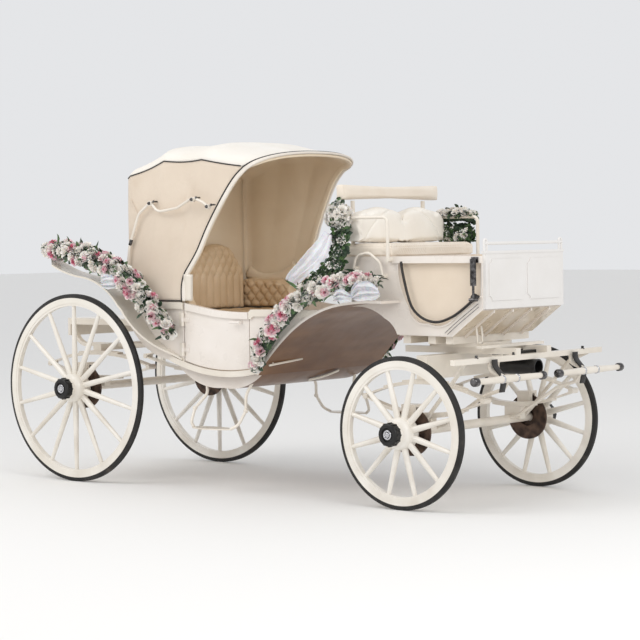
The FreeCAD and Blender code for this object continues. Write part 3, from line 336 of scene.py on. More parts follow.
def add_piece(name, vertices, faces, materials, body="root", slot=None, smooth=True, face_looks=None):
    """A mesh piece from points in the drawings' millimetres, riding on a body."""
    mesh = bpy.data.meshes.new(name)
    mesh.from_pydata([at(*v) for v in vertices], [], faces)
    for material in materials if isinstance(materials, (list, tuple)) else [materials]:
        mesh.materials.append(material)
    if face_looks is not None:
        mesh.polygons.foreach_set("material_index", face_looks)
    mesh.validate()
    face_outward(mesh)
    mesh.polygons.foreach_set("use_smooth", [smooth] * len(mesh.polygons))
    piece = bpy.data.objects.new(name, mesh)
    SCENE.collection.objects.link(piece)
    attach(piece, body)
    return piece


def modified(piece, kind, **settings):
    modifier = piece.modifiers.new(kind.lower(), kind)
    for setting, value in settings.items():
        setattr(modifier, setting, value)
    return piece


def unit(vector):
    return vector / np.linalg.norm(vector)


def unit_rows(rows):
    return rows / np.linalg.norm(rows, axis=1)[:, None]


def grid_faces(rows, columns, wrap=False):
    """Quads over a grid of rows by columns; wrap joins the last column to the first."""
    faces = []
    for i in range(rows - 1):
        for j in range(columns if wrap else columns - 1):
            low, high, k = i * columns, (i + 1) * columns, (j + 1) % columns
            faces.append((low + j, low + k, high + k, high + j))
    return faces


def end_caps(rings, sides):
    """The first and the last ring of a wrapped grid as two faces."""
    return [tuple(range(sides)), tuple(range((rings - 1) * sides, rings * sides))]


def through(points, count):
    """A smooth line through the points, as count evenly spread points."""
    points = np.array(points, float)
    ghost = np.vstack([2 * points[0] - points[1], points, 2 * points[-1] - points[-2]])
    line = []
    for a, b, c, d in zip(ghost, ghost[1:], ghost[2:], ghost[3:]):
        for t in np.linspace(0, 1, 12, endpoint=False):
            line.append(0.5 * (2 * b + (c - a) * t + (2 * a - 5 * b + 4 * c - d) * t * t
                               + (3 * b - a - 3 * c + d) * t ** 3))
    line = np.array(line + [points[-1]])
    run = np.concatenate([[0], np.cumsum(np.linalg.norm(np.diff(line, axis=0), axis=1))])
    where = np.linspace(0, run[-1], count)
    return np.stack([np.interp(where, run, line[:, k]) for k in range(line.shape[1])], 1)


def swept(path, section, outward=None):
    """Vertices and faces of a closed section, (side, out) points, carried along a path.

    outward is one direction or one for each point of the path; without it the section isn't twisted.
    """
    path = np.array(path, float)
    along = unit_rows(np.gradient(path, axis=0))
    if outward is None:
        start = np.array((0, 0, 1.0)) if abs(along[0][2]) < 0.9 else np.array((1.0, 0, 0))
        outward = []
        for direction in along:
            start = unit(start - direction * (start @ direction))
            outward.append(start)
    out = np.array(outward, float)
    out = unit_rows(out - along * np.sum(out * along, 1)[:, None])
    side = np.cross(along, out)
    vertices = [tuple(path[i] + side[i] * u + out[i] * v) for i in range(len(path)) for u, v in section]
    return vertices, grid_faces(len(path), len(section), wrap=True) + end_caps(len(path), len(section))


def ring(radius, sides=10):
    return [(radius * cos(TURN * k / sides), radius * sin(TURN * k / sides)) for k in range(sides)]


def chamfered(half_width, half_depth, cut_width, cut_depth):
    """A rectangular section with its corners cut off."""
    u, v = half_width - cut_width, half_depth - cut_depth
    return [(-half_width, -v), (-u, -half_depth), (u, -half_depth), (half_width, -v),
            (half_width, v), (u, half_depth), (-u, half_depth), (-half_width, v)]


def joined(parts):
    """Several (vertices, faces) as one."""
    vertices, faces = [], []
    for more, their in parts:
        base = len(vertices)
        vertices += list(more)
        faces += [tuple(base + k for k in face) for face in their]
    return vertices, faces


def both(part):
    """A part and its mirror on the other side."""
    vertices, faces = part
    return joined([part, ([(x, -y, z) for x, y, z in vertices], [face[::-1] for face in faces])])


# ---- hood

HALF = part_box("hood_canvas")[1].y * 1000
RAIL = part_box("hood_canvas")[0].z * 1000 + 2
BOWS = (
    # side line (X, Z) from the rail up, crown (X, Z), roundness of the arch, half width, lean in at the top
    (((364, RAIL), (364, 1431), (362, 1676), (364, 1832)), (394, 1930), 2.6, HALF - 34, 6),
    (((368, RAIL), (370, 1431), (368, 1676), (371, 1844)), (404, 1938), 2.6, HALF - 9, 6),
    (((394, RAIL), (396, 1431), (394, 1676), (398, 1858)), (428, 1948), 2.6, HALF, 6),
    (((530, RAIL), (584, 1500), (642, 1800), (669, 1938)), (650, 2042), 2.9, HALF, 16),
    (((700, RAIL), (800, 1450), (892, 1728), (956, 1938)), (990, 2052), 2.9, HALF, 35),
    (((815, RAIL), (813, 1199), (831, 1270), (876, 1335), (926, 1411), (993, 1551), (1086, 1713),
      (1166, 1828), (1237, 1892)), (1415, 1980), 2.3, HALF, 92),
)
# Between neighbouring bows: rows of the cloth and its sag.
BOW_STEPS = (3, 3, 12, 12, 14)
SAGS = (0, 0, 7, 9, 4)
SIDE_STEPS, ARCH_STEPS, WALL_COLUMNS = 34, 46, 25
SAG_HEIGHT, BELLY_HEIGHT = 800, 850
REAR_BELLY, REARMOST = 9, 352
CLOTH, SEAM_WELD = 0.003, 0.0004
LINING_INSET = 14


def bow_line(side, crown, roundness, half, lean, inset=0.0):
    """A bow from the near rail over the crown to the far rail."""
    line = through(side, 80)
    near = []
    for h in np.linspace(0, 1, SIDE_STEPS, endpoint=False):
        z = RAIL + h * (line[-1][1] - RAIL)
        near.append((np.interp(z, line[:, 1], line[:, 0]), -(half - inset - lean * h ** 1.5), z - inset * h))
    half -= lean
    over = []
    for angle in np.linspace(0, pi, ARCH_STEPS + 1):
        c, r = cos(angle), abs(sin(angle)) ** (2 / roundness)
        y = -(half - inset) * copysign(abs(c) ** (2 / roundness), c)
        x = line[-1][0] + (crown[0] - line[-1][0]) * r
        z = line[-1][1] + (crown[1] - line[-1][1]) * r - inset
        over.append((x, y, z))
    return np.array(near + over + [(x, -y, z) for x, y, z in near[::-1]])


def hood_grid(inset=0.0):
    """Bows and the cloth drawn between them, sagging a little."""
    bows = [bow_line(*bow, inset=inset) for bow in BOWS]
    rows = []
    for a, b, steps, sag in zip(bows, bows[1:], BOW_STEPS, SAGS):
        for k in range(steps):
            t = k / steps
            row = a * (1 - t) + b * t
            dip = sag * sin(pi * t)
            lean = np.clip((row[:, 2] - RAIL) / SAG_HEIGHT, 0, 1)
            row[:, 1] -= np.sign(row[:, 1]) * dip * lean * (np.abs(row[:, 1]) > HALF * 0.85)
            row[SIDE_STEPS:-SIDE_STEPS, 2] -= dip
            rows.append(row)
    return np.array(rows + [bows[-1]])


def rear_wall(row, inset):
    """The cloth across the back, between the two sides of its edge, bellied out a little."""
    half_count = len(row) // 2
    vertices = []
    for k in range(half_count + 1):
        near, far = row[k], row[-1 - k]
        for t in np.linspace(0, 1, WALL_COLUMNS):
            point = near * (1 - t) + far * t
            height = min(1, (point[2] - RAIL) / BELLY_HEIGHT)
            point[0] -= REAR_BELLY * sin(pi * t) * sin(pi * height)
            point[0] = max(point[0], REARMOST + inset)
            vertices.append(tuple(point))
    return vertices, grid_faces(half_count + 1, WALL_COLUMNS)


def flat(grid):
    return [tuple(point) for point in grid.reshape(-1, 3)]


def hood_cloths(outer):
    """The sides with the wall behind, the roof over them and the lining inside."""
    rows, columns = outer.shape[:2]
    sides = both((flat(outer[:, :SIDE_STEPS + 1]), grid_faces(rows, SIDE_STEPS + 1)))
    walls = add_piece("hood_sides", *joined([sides, rear_wall(outer[0], 0)]), hood_cloth, slot="hood_cloth")
    face_outward(walls.data, SEAM_WELD)
    modified(walls, "SOLIDIFY", thickness=CLOTH, offset=-1)
    over = outer[:, SIDE_STEPS:columns - SIDE_STEPS]
    roof = add_piece("hood_roof", flat(over), grid_faces(*over.shape[:2]), roof_cloth, slot="hood_cloth")
    modified(roof, "SOLIDIFY", thickness=CLOTH, offset=-1)
    inner = hood_grid(LINING_INSET)
    inner[:, :, 0] += np.linspace(LINING_INSET - 1, 0, rows)[:, None]
    within = joined([(flat(inner), grid_faces(rows, columns)), rear_wall(inner[0], LINING_INSET - 2)])
    inside = add_piece("hood_lining", *within, head_lining, slot="lining")
    modified(inside, "SOLIDIFY", thickness=CLOTH, offset=1)
    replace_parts(walls, "hood_canvas")
    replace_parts(roof, "hood_canvas")


def front_edge(outer):
    """The points of the hood's front edge, with the ways out of the cloth and back from the edge."""
    edge = outer[-1]
    rearward = outer[-3] - edge
    outward = unit_rows(np.cross(rearward, np.gradient(edge, axis=0)))
    if outward[len(edge) // 2][2] < 0:
        outward = -outward
    return edge, outward, unit_rows(rearward)


def edge_band(name, low, high, front, rear, material, slot):
    """A padded band along the front edge, between two depths and two distances back."""
    cut = min(high - low, rear - front) * 0.35
    section = []
    for s, n, ds, dn in ((front, low, 1, 1), (rear, low, -1, 1), (rear, high, -1, -1), (front, high, 1, -1)):
        corner = [(s, n + dn * cut), (s + ds * cut * 0.3, n + dn * cut * 0.3), (s + ds * cut, n)]
        section += corner if ds == dn else corner[::-1]
    flip = 1 if np.cross(np.gradient(EDGE, axis=0)[5], EDGE_OUT[5]) @ EDGE_BACK[5] > 0 else -1
    piece = add_piece(name, *swept(EDGE, [(flip * s, n) for s, n in section], EDGE_OUT), material, slot=slot)
    return modified(piece, "SUBSURF", levels=1, render_levels=1)


def hood_cords(outer):
    """Black piping along the front edge, the roof's two seams and the rails."""
    cords = [swept(EDGE + EDGE_BACK * 4 + EDGE_OUT * 3, ring(4.2))]
    for index in (SIDE_STEPS, outer.shape[1] - SIDE_STEPS - 1):
        cords.append(swept(outer[2:-1, index] + np.array((0, 0, 3.0)), ring(3.6)))
    for y in (-HALF - 2, HALF + 2):
        cords.append(swept([(x, y, RAIL + 5) for x in np.linspace(372, 812, 20)], ring(4)))
    add_piece("hood_piping", *joined(cords), piping, slot="black_metal")
    seam = through([(x, -HALF - 1, z) for x, z in ((402, 1722), (422, 1688), (446, 1652), (470, 1618))], 24)
    add_piece("hood_quarter_seams", *both(swept(seam, ring(2.2, 8))), hood_cloth, slot="hood_cloth")


def hood_pillars():
    """The two flat posts inside the open front of the sides."""
    foot, head, x, rake = RAIL + 7, 1268, 848, 0.03
    line = [(x + rake * (z - foot), -(HALF - 14), z) for z in np.linspace(foot, head, 12)]
    post = swept(line, chamfered(31, 13, 5, 5), (0, 1, 0))
    pillars = add_piece("hood_pillars", *both(post), ivory_paint, slot="ivory_paint")
    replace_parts(pillars, "hood_bow")


hood = hood_grid()
hood_cloths(hood)
EDGE, EDGE_OUT, EDGE_BACK = front_edge(hood)
rim = edge_band("hood_front_band", -9, 5, -25, 1, band_cloth, "hood_cloth")
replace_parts(rim, "hood_bow")
edge_band("hood_front_lining", -26, -10, -20, 16, head_lining, "lining")
hood_cords(hood)
hood_pillars()

# ---- buttoned seats

DIAMOND_SOFTNESS, CHANNEL_SOFTNESS = 0.42, 0.5
PAD_ROWS, PAD_STEP = 56, 5.5
BUTTON_MARGIN = 14
# Radius and height of a button's rings.
BUTTON = ((8.5, -2), (8.5, 2.5), (5.1, 5.0), (0.5, 6.0))


def tuft(u, v, pitch, row, first_row):
    """Fullness, 0 at a fold to 1 between folds: diamonds over the first row, channels under it."""
    across, up = u / pitch, (v - first_row) / (2 * row)
    diamonds = abs(sin(pi * (across + up)) * sin(pi * (across - up))) ** DIAMOND_SOFTNESS
    channels = abs(sin(pi * across)) ** CHANNEL_SOFTNESS
    share = min(1.0, max(0.0, (v - first_row) / (0.5 * row) + 0.5))
    return channels * (1 - share) + diamonds * share


def pad_buttons(name, place, width, top, level, pitch, row, first_row):
    """Domed buttons where the folds cross, their feet at the level."""
    domes = []
    for step in range(12):
        v = first_row + step * row
        for k in range(-12, 13):
            u = width / 2 + pitch * (k + 0.5 * (step % 2))
            if BUTTON_MARGIN < u < width - BUTTON_MARGIN and 6 < v < top(u) - BUTTON_MARGIN:
                rings = [place(u + radius * cos(a), v + radius * sin(a), level + lift)
                         for radius, lift in BUTTON for a in np.linspace(0, TURN, 10, endpoint=False)]
                domes.append((rings, grid_faces(4, 10, wrap=True)))
    if domes:
        add_piece(name + "_buttons", *joined(domes), tan_leather, slot="tan_leather")


def tufted_pad(name, place, width, top, depth, puff, pitch, row, first_row, rounding, replaced):
    """A closed pad; place(u, v, n) is a point u along, v up, n out of its back, top(u) its height."""
    columns, rows = int(width / PAD_STEP), PAD_ROWS
    vertices, faces = [], grid_faces(rows + 1, columns + 1)
    for j in range(rows + 1):
        for i in range(columns + 1):
            u = width * i / columns
            high = top(u)
            v = high * j / rows
            edge = min(1.0, min(u, width - u, high - v, v + rounding * 0.4) / rounding)
            full = sqrt(max(0.0, 1 - (1 - edge) ** 2))
            dent = (1 - tuft(u - width / 2, v, pitch, row, first_row)) * min(1.0, edge * 1.6)
            vertices.append(place(u, v, depth * (0.30 + 0.70 * full) - puff * dent))
    near, far = [j * (columns + 1) for j in range(rows + 1)], rows * (columns + 1)
    rim = near + [far + i for i in range(1, columns + 1)]
    rim += [j + columns for j in near[-2::-1]] + list(range(columns - 1, 0, -1))
    base = len(vertices)
    for k in rim:
        j, i = divmod(k, columns + 1)
        u = width * i / columns
        vertices.append(place(u, top(u) * j / rows, 0))
    for k in range(len(rim)):
        n = (k + 1) % len(rim)
        faces.append((rim[k], rim[n], base + n, base + k))
    faces.append(tuple(range(base, base + len(rim))))
    pad = add_piece(name, vertices, faces, tan_leather, slot="tan_leather")
    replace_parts(pad, replaced)
    pad_buttons(name, place, width, top, depth - puff, pitch, row, first_row)


BACK_HALF = 418
BACK_X = (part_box("seat_back")[0].x - REAR_AXLE_X) * 1000
BACK_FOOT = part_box("seat_back")[0].z * 1000
LOBES = through([(0, 1398), (54, 1408), (130, 1434), (208, 1441), (290, 1416), (350, 1345), (394, 1290),
                 (BACK_HALF, 1225)], 80)


def lobed_top(u):
    """Height of the seat back's two rounded lobes above its foot."""
    away = min(BACK_HALF, abs(u - BACK_HALF))
    return float(np.interp(away, LOBES[:, 0], LOBES[:, 1])) - BACK_FOOT


tufted_pad("seat_back_buttoned", lambda u, v, n: (BACK_X + n, u - BACK_HALF, BACK_FOOT + v), 2 * BACK_HALF,
           lobed_top, 74, 17, 62, 52, 1229 - BACK_FOOT, 46, "seat_back")

SIDE_X, SIDE_Y, SIDE_FOOT, SIDE_LENGTH = 404, 519, 1044, 444
SIDE_ROLL = through([(402, 1262), (470, 1225), (560, 1212), (660, 1224), (760, 1262), (800, 1300)], 40)


def side_top(u):
    return float(np.interp(u, (0, 60, 290, 384, SIDE_LENGTH), (172, 176, 170, 130, 30)))


def side_seat(side_name, sign):
    """The pad along one side and the padded roll over it."""
    tufted_pad("side_pad_" + side_name, lambda u, v, n: (SIDE_X + u, sign * (SIDE_Y - n), SIDE_FOOT + v),
               SIDE_LENGTH, side_top, 90, 20, 74, 40, 22, 30, "side_pads")
    line = [(x, sign * (SIDE_Y - 2), z) for x, z in SIDE_ROLL]
    section = [(across * 1.4, up * 2.9) for across, up in ring(13, 14)]
    hem = add_piece("hood_roll_" + side_name, *swept(line, section, (0, 0, 1)), head_lining, slot="lining")


side_seat("left", 1)
side_seat("right", -1)

CUSHION_HALF = 496
CUSHION_LOW, CUSHION_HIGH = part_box("bench_cushion")
CUSHION_X = (CUSHION_LOW.x - REAR_AXLE_X) * 1000
tufted_pad("bench_cushion_buttoned",
           lambda u, v, n: (CUSHION_X + v, u - CUSHION_HALF, CUSHION_LOW.z * 1000 + n), 2 * CUSHION_HALF,
           lambda u: (CUSHION_HIGH.x - CUSHION_LOW.x) * 1000, 106, 14, 110, 92, 60, 44, "bench_cushion")

# ---- flowers


def petal_colour(name, colour, shade, roughness=0.6):
    s = Shader(name, roughness, Subsurface_Weight=0.12, Sheen_Weight=0.15)
    s.out.inputs["Subsurface Radius"].default_value = (0.004, 0.003, 0.002)
    s.set("Base Color", s.ramp(s.noise(34, 3), [(0.32, shade), (0.68, colour)]))
    s.bump(s.noise(300, 2), 0.1, 0.001)
    return s.material


rose_white = petal_colour("rose_white", (248, 245, 240), (236, 230, 222))
rose_blush = petal_colour("rose_blush", (242, 214, 219), (226, 178, 188))
rose_pink = petal_colour("rose_pink", (222, 126, 150), (196, 86, 116))
leaf_green = petal_colour("leaf_green", (86, 116, 66), (46, 74, 40), 0.48)
leaf_dark = petal_colour("leaf_dark", (48, 74, 46), (26, 46, 28), 0.5)
FLOWER_LOOKS = [rose_white, rose_blush, rose_pink, leaf_green, leaf_dark]
WHITE, BLUSH, PINK, LEAF, DARK = range(5)


# Rings of a rose from the heart out: petals, half their angle, radius and height at the foot and the lip.
ROSE_RINGS = ((3, 1.25, 2, 7, 6, 27), (4, 1.05, 4, 15, 3, 26), (5, 0.92, 7, 23, 0, 21),
              (5, 0.82, 9, 31, -3, 12))


def rose_shape():
    """A rose of wrapped petals about 60 mm across: points, faces and each face's ring."""
    parts, rings = [], []
    for number, (count, half_angle, low, high, foot, head) in enumerate(ROSE_RINGS):
        for petal in range(count):
            base = TURN * (petal + 0.5 * number) / count
            points = []
            for v in (0.0, 0.4, 0.75, 1.0):
                for u in (-1.0, -0.5, 0.0, 0.5, 1.0):
                    reach = v * (1 - 0.22 * u * u * v)
                    curl = 1.6 * number * max(0, v - 0.7)
                    radius = low + (high - low) * reach ** 1.3 + curl - 1.2 * abs(u) * v
                    angle = base + u * half_angle * (0.75 + 0.25 * sin(pi * min(1, v + 0.2)))
                    lift = foot + (head - foot) * reach
                    points.append((radius * cos(angle), radius * sin(angle), lift))
            faces = grid_faces(4, 5)
            parts.append((points, faces))
            rings += [number] * len(faces)
    vertices, faces = joined(parts)
    return np.array(vertices), faces, rings


def leaf_shape(length, half_width):
    """A pointed leaf along +X, folded a little on its midrib."""
    points = []
    for t, wide in ((0.0, 0.06), (0.25, 0.75), (0.55, 1.0), (0.82, 0.6), (1.0, 0.03)):
        for side in (-1, 0, 1):
            lift = 4 * abs(side) * wide + 0.2 * length * sin(2.2 * t)
            points.append((length * t, side * half_width * wide, lift))
    faces = grid_faces(5, 3)
    return np.array(points), faces, [0] * len(faces)


def blossom_shape():
    """A small open five-petalled flower."""
    parts = []
    for petal in range(5):
        base = TURN * petal / 5
        points = [(1.5 * cos(base), 1.5 * sin(base), 0)]
        for radius, spread, lift in ((7, 0.5, 4), (12, 0.36, 5)):
            for angle in (base - spread, base, base + spread):
                points.append((radius * cos(angle), radius * sin(angle), lift))
        parts.append((points, [(0, 1, 2), (0, 2, 3), (1, 4, 5, 2), (2, 5, 6, 3)]))
    vertices, faces = joined(parts)
    return np.array(vertices), faces, [0] * len(faces)


ROSE, BLOSSOM = rose_shape(), blossom_shape()
SHORT_LEAF, LONG_LEAF = leaf_shape(34, 11), leaf_shape(78, 8)
WAY_STEPS, CORE_STEPS, CORE_SIDES = 60, 40, 12
TUB_REAR, TUB_FRONT = 372, 1700


def turned_to(direction, spin, scale):
    """A 3x3 matrix that takes +Z to the direction, after a spin about it."""
    z = unit(np.array(direction, float))
    x = unit(np.cross((0, 0, 1.0) if abs(z[2]) < 0.9 else (1.0, 0, 0), z))
    y = np.cross(z, x)
    c, s = cos(spin), sin(spin)
    return np.stack([x * c + y * s, y * c - x * s, z], 1) * scale


def spread_out(values, count):
    """Numbers given at even places along a line, as count numbers."""
    return np.interp(np.linspace(0, 1, count), np.linspace(0, 1, len(values)), values)


class Bouquet:
    """Collects copies of flowers and leaves as one mesh with a look for each face."""

    def __init__(self, seed):
        self.draw = random.Random(seed)
        self.parts, self.looks, self.count = [], [], 0
        self.faces = []

    def add(self, points, faces, looks):
        self.parts.append(points)
        self.faces += [tuple(self.count + k for k in face) for face in faces]
        self.looks += looks
        self.count += len(points)

    def put(self, shape, place, direction, scale, looks):
        """One flower or leaf; each of its rings has the look of its place in looks."""
        points, faces, rings = shape
        turn = turned_to(direction, self.draw.uniform(0, TURN), scale)
        face_looks = [looks[min(number, len(looks) - 1)] for number in rings]
        self.add(points @ turn.T + np.array(place), faces, face_looks)

    def rose_looks(self, pink):
        """Rings of a rose: deep pink or blush ones in the share of pink, the others white."""
        kind = self.draw.random()
        if kind < pink * 0.45:
            return [PINK, PINK, BLUSH, BLUSH]
        return [PINK, BLUSH, BLUSH, WHITE] if kind < pink else [WHITE]

    def along(self, path, radii, outs, roses, blossoms, leaves, pink, sizes, leaf=SHORT_LEAF):
        """Covers a line: roses and blossoms on its outer half, leaves all round."""
        path, outs, radii = through(path, WAY_STEPS), through(outs, WAY_STEPS), spread_out(radii, WAY_STEPS)
        tangents = unit_rows(np.gradient(path, axis=0))
        chance = self.draw.uniform

        def spot(t, spread, depth):
            k = min(WAY_STEPS - 1, int(t * (WAY_STEPS - 0.01)))
            out = unit(outs[k])
            angle = chance(-spread, spread)
            way = out * cos(angle) + np.cross(tangents[k], out) * sin(angle)
            return path[k] + way * radii[k] * depth, way, tangents[k]

        for number in range(roses):
            place, way, _ = spot((number + chance(0.1, 0.9)) / roses, 1.25, chance(0.55, 0.9))
            looks = self.rose_looks(pink)
            lean = [chance(-0.4, 0.4) for _ in range(3)]
            self.put(ROSE, place, way + np.array(lean), chance(*sizes), looks)
        for number in range(blossoms):
            place, way, _ = spot((number + chance(0, 1)) / blossoms, 1.4, chance(0.75, 1.05))
            self.put(BLOSSOM, place, way, chance(0.9, 1.5), [WHITE])
        for number in range(leaves):
            place, way, tangent = spot((number + chance(0, 1)) / leaves, 1.7, chance(0.35, 0.95))
            mixed = np.cross(way, tangent) * chance(-1, 1) + way * chance(0.2, 1.0)
            mixed = mixed + tangent * chance(-0.7, 0.7)
            self.put(leaf, place, np.cross(mixed, tangent) + way * 0.6, chance(0.7, 1.35),
                     [LEAF if self.draw.random() < 0.55 else DARK])

    def core(self, path, radii):
        """A dark lumpy rope of stems and leaves under the flowers."""
        path, radii = through(path, CORE_STEPS), spread_out(radii, CORE_STEPS)
        points = []
        for place, tangent, radius in zip(path, np.gradient(path, axis=0), radii):
            over = unit(np.cross(tangent, (0, 1.0, 0)))
            out = unit(np.cross(over, tangent))
            for side in range(CORE_SIDES):
                angle = TURN * side / CORE_SIDES
                reach = radius * self.draw.uniform(0.55, 0.75)
                points.append(place + (over * cos(angle) + out * sin(angle)) * reach)
        faces = grid_faces(CORE_STEPS, CORE_SIDES, wrap=True) + end_caps(CORE_STEPS, CORE_SIDES)
        self.add(np.array(points), faces, [DARK] * len(faces))

    def keep_outside(self):
        """Holds the flowers off the tub's side: the core is pressed flat, each item is moved whole."""
        limit = HALF + 4
        for number, points in enumerate(self.parts):
            x, y, z = points.T
            beside = (x > TUB_REAR) & (x < TUB_FRONT) & (z < RAIL) & (y < 0)
            if number == 0:
                points[beside, 1] = np.minimum(points[beside, 1], -limit)
            elif beside.any():
                points[:, 1] -= max(0.0, points[beside, 1].max() + limit)

    def finish(self, name, mirror):
        points = np.vstack(self.parts)
        if mirror:
            points = points * (1, -1, 1)
        return add_piece(name, points.tolist(), self.faces, FLOWER_LOOKS, face_looks=self.looks)


REAR_WAY = [(-261, -612, 1414), (-123, -640, 1412), (17, -660, 1386), (145, -672, 1366), (271, -676, 1338),
            (389, -676, 1292), (474, -672, 1246), (538, -664, 1196), (583, -656, 1144), (626, -648, 1088),
            (677, -638, 1026), (722, -626, 976), (765, -612, 924)]
FRONT_WAY = [(1422, -576, 740), (1469, -582, 829), (1543, -588, 922), (1625, -588, 1012), (1700, -580, 1084),
             (1784, -568, 1136), (1880, -556, 1170), (1972, -545, 1198), (2086, -530, 1214),
             (2190, -515, 1220), (2244, -502, 1212)]
IVY_WAY = [(1742, -520, 1180), (1817, -500, 1228), (1894, -480, 1288), (1940, -465, 1355),
           (1956, -460, 1435), (1958, -458, 1515), (1938, -458, 1590)]
RAIL_WAY = [(1980, 448, 1574), (2050, 450, 1584), (2140, 450, 1584), (2214, 448, 1570)]
HANGING_WAY = [(2010, 450, 1490), (2090, 452, 1476), (2190, 450, 1480)]
UP, OUT = (0, -0.7, 1), (0.2, -1, 0.3)
GARLANDS = (
    # name, node it replaces, way, radii, outward directions, roses, blossoms, leaves, pink share, rose sizes
    ("rear", "rear_garlands", REAR_WAY, (34, 50, 62, 72, 74, 74, 66, 64, 68, 64, 62, 52, 28),
     [(-0.2, -0.6, 1), (0, -0.8, 1), (0.3, -1, 0.8), (0.7, -1, 0.5)], 92, 60, 620, 0.30, (0.95, 1.4)),
    ("front", "front_garlands", FRONT_WAY, (24, 44, 54, 58, 62, 62, 62, 62, 60, 52, 26),
     [(-0.4, -1, 0.4), (-0.3, -1, 0.7), (0, -0.9, 0.9)], 96, 60, 620, 0.34, (0.95, 1.4)),
    ("seat_right", "seat_garland_right", IVY_WAY, (30, 36, 40, 46, 48, 50, 50),
     [(-0.2, -1, 0.4), OUT, OUT, UP], 0, 130, 1250, 0.0, (0.8, 1.0)),
    ("seat_left", "seat_garland_left", RAIL_WAY, (34, 42, 42, 32), [(0, 0.3, 1), (0, 0.5, 1)],
     26, 30, 220, 0.0, (0.9, 1.15)),
)
ROSES_ON_TOP = 24
IVY_TOP = (1930, -458, 1660)


def posy(bunch, way, sizes):
    """A ball of white roses on the top of the ivy at the seat's right end."""
    for k in range(ROSES_ON_TOP):
        spin, rise = 2.4 * k, 1 - 1.8 * (k + 0.5) / ROSES_ON_TOP
        level = sqrt(1 - rise * rise)
        out = np.array((cos(spin) * level, sin(spin) * level, rise))
        place = np.array(way[-1]) + out * (58, 48, 52) * bunch.draw.uniform(0.85, 1.1)
        bunch.put(ROSE, place, out, bunch.draw.uniform(0.9, 1.2), [WHITE])
    bunch.along([way[-2], way[-1], IVY_TOP], (40, 52, 40), [OUT, UP], 0, 26, 90, 0.0, sizes)


def hanging_leaves(bunch):
    """Leaves and small flowers on both faces of the seat's left end, under the rail."""
    for face in (-1, 1):
        bunch.core(HANGING_WAY, (40, 46, 40))
        bunch.along(HANGING_WAY, (44, 52, 44), [(0, face, 0.2)] * 2, 4, 50, 420, 0.0, (0.7, 0.9))


def garland(number, name, mirror, way, radii, outs, roses, blossoms, leaves, pink, sizes):
    bunch = Bouquet(40 + number + 10 * mirror)
    bunch.core(way, radii)
    bunch.along(way, radii, outs, roses, blossoms, leaves, pink, sizes)
    if name == "seat_right":
        posy(bunch, way, sizes)
    if name == "seat_left":
        hanging_leaves(bunch)
    if name == "rear":
        bunch.along(way, radii, [(-0.2, 1, 0.3), (0.2, 1, 0)], 26, 20, 120, pink, sizes)
    if name in ("rear", "front"):
        bunch.along(way, [r * 1.06 for r in radii], outs, 0, 0, 60, 0.0, sizes, LONG_LEAF)
    bunch.keep_outside()
    return bunch


for number, (name, node, *rest) in enumerate(GARLANDS):
    for side_name, mirror in (("", False),) if "seat" in name else (("_right", False), ("_left", True)):
        bunch = garland(number, name, mirror, *rest)
        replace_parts(bunch.finish("garland_" + name + side_name, mirror), node)

# ---- tulle


def tulle_cloth():
    s = Shader("tulle", 0.75, Sheen_Weight=0.4, Alpha=0.78, Subsurface_Weight=0.2)
    s.set("Base Color", s.ramp(s.noise(18, 3), [(0.3, (222, 222, 228)), (0.7, (240, 240, 244))]))
    s.bump(s.noise(700, 1), 0.06, 0.0006)
    return s.material


tulle = tulle_cloth()


TULLE_ROWS, TULLE_COLUMNS, FOLDS = 44, 96, 3


def gathered(first, second, depth, seed, pinch=(0.35, 0.2)):
    """A sheet of tulle between two edges, folded along its length and pinched at its ends."""
    rows, columns = TULLE_ROWS, TULLE_COLUMNS
    first, second = through(first, rows), through(second, rows)
    draw = random.Random(seed)
    shifts = [draw.uniform(0, TURN) for _ in range(3)]
    points = []
    for j in range(rows):
        v = j / (rows - 1)
        across = second[j] - first[j]
        onward = (first[min(j + 1, rows - 1)] + second[min(j + 1, rows - 1)]
                  - first[max(j - 1, 0)] - second[max(j - 1, 0)])
        out = unit(np.cross(across, onward))
        fall = pinch[0] + (1 - pinch[0] - pinch[1]) * sin(pi * min(1, v + 0.12)) + pinch[1] * v
        for i in range(columns):
            u = i / (columns - 1)
            wave = (sin(TURN * FOLDS * u + shifts[0] + 1.1 * v)
                    + 0.45 * sin(TURN * FOLDS * 1.7 * u + shifts[1] - 1.6 * v)
                    + 0.3 * sin(TURN * 2.1 * v + shifts[2] + 3 * u)
                    + 0.28 * sin(TURN * 5.3 * v + 9 * u) * sin(7 * u * u + shifts[0]))
            points.append(first[j] + across * u + out * depth * fall * wave)
    return np.array(points), grid_faces(rows, columns)


def tulle_piece(name, sheet):
    points, faces = sheet
    piece = add_piece(name, points.tolist(), faces, tulle)
    edge = points[::TULLE_COLUMNS]
    length = sum((Vector(a) - Vector(b)).length for a, b in zip(edge, edge[1:])) / 1000


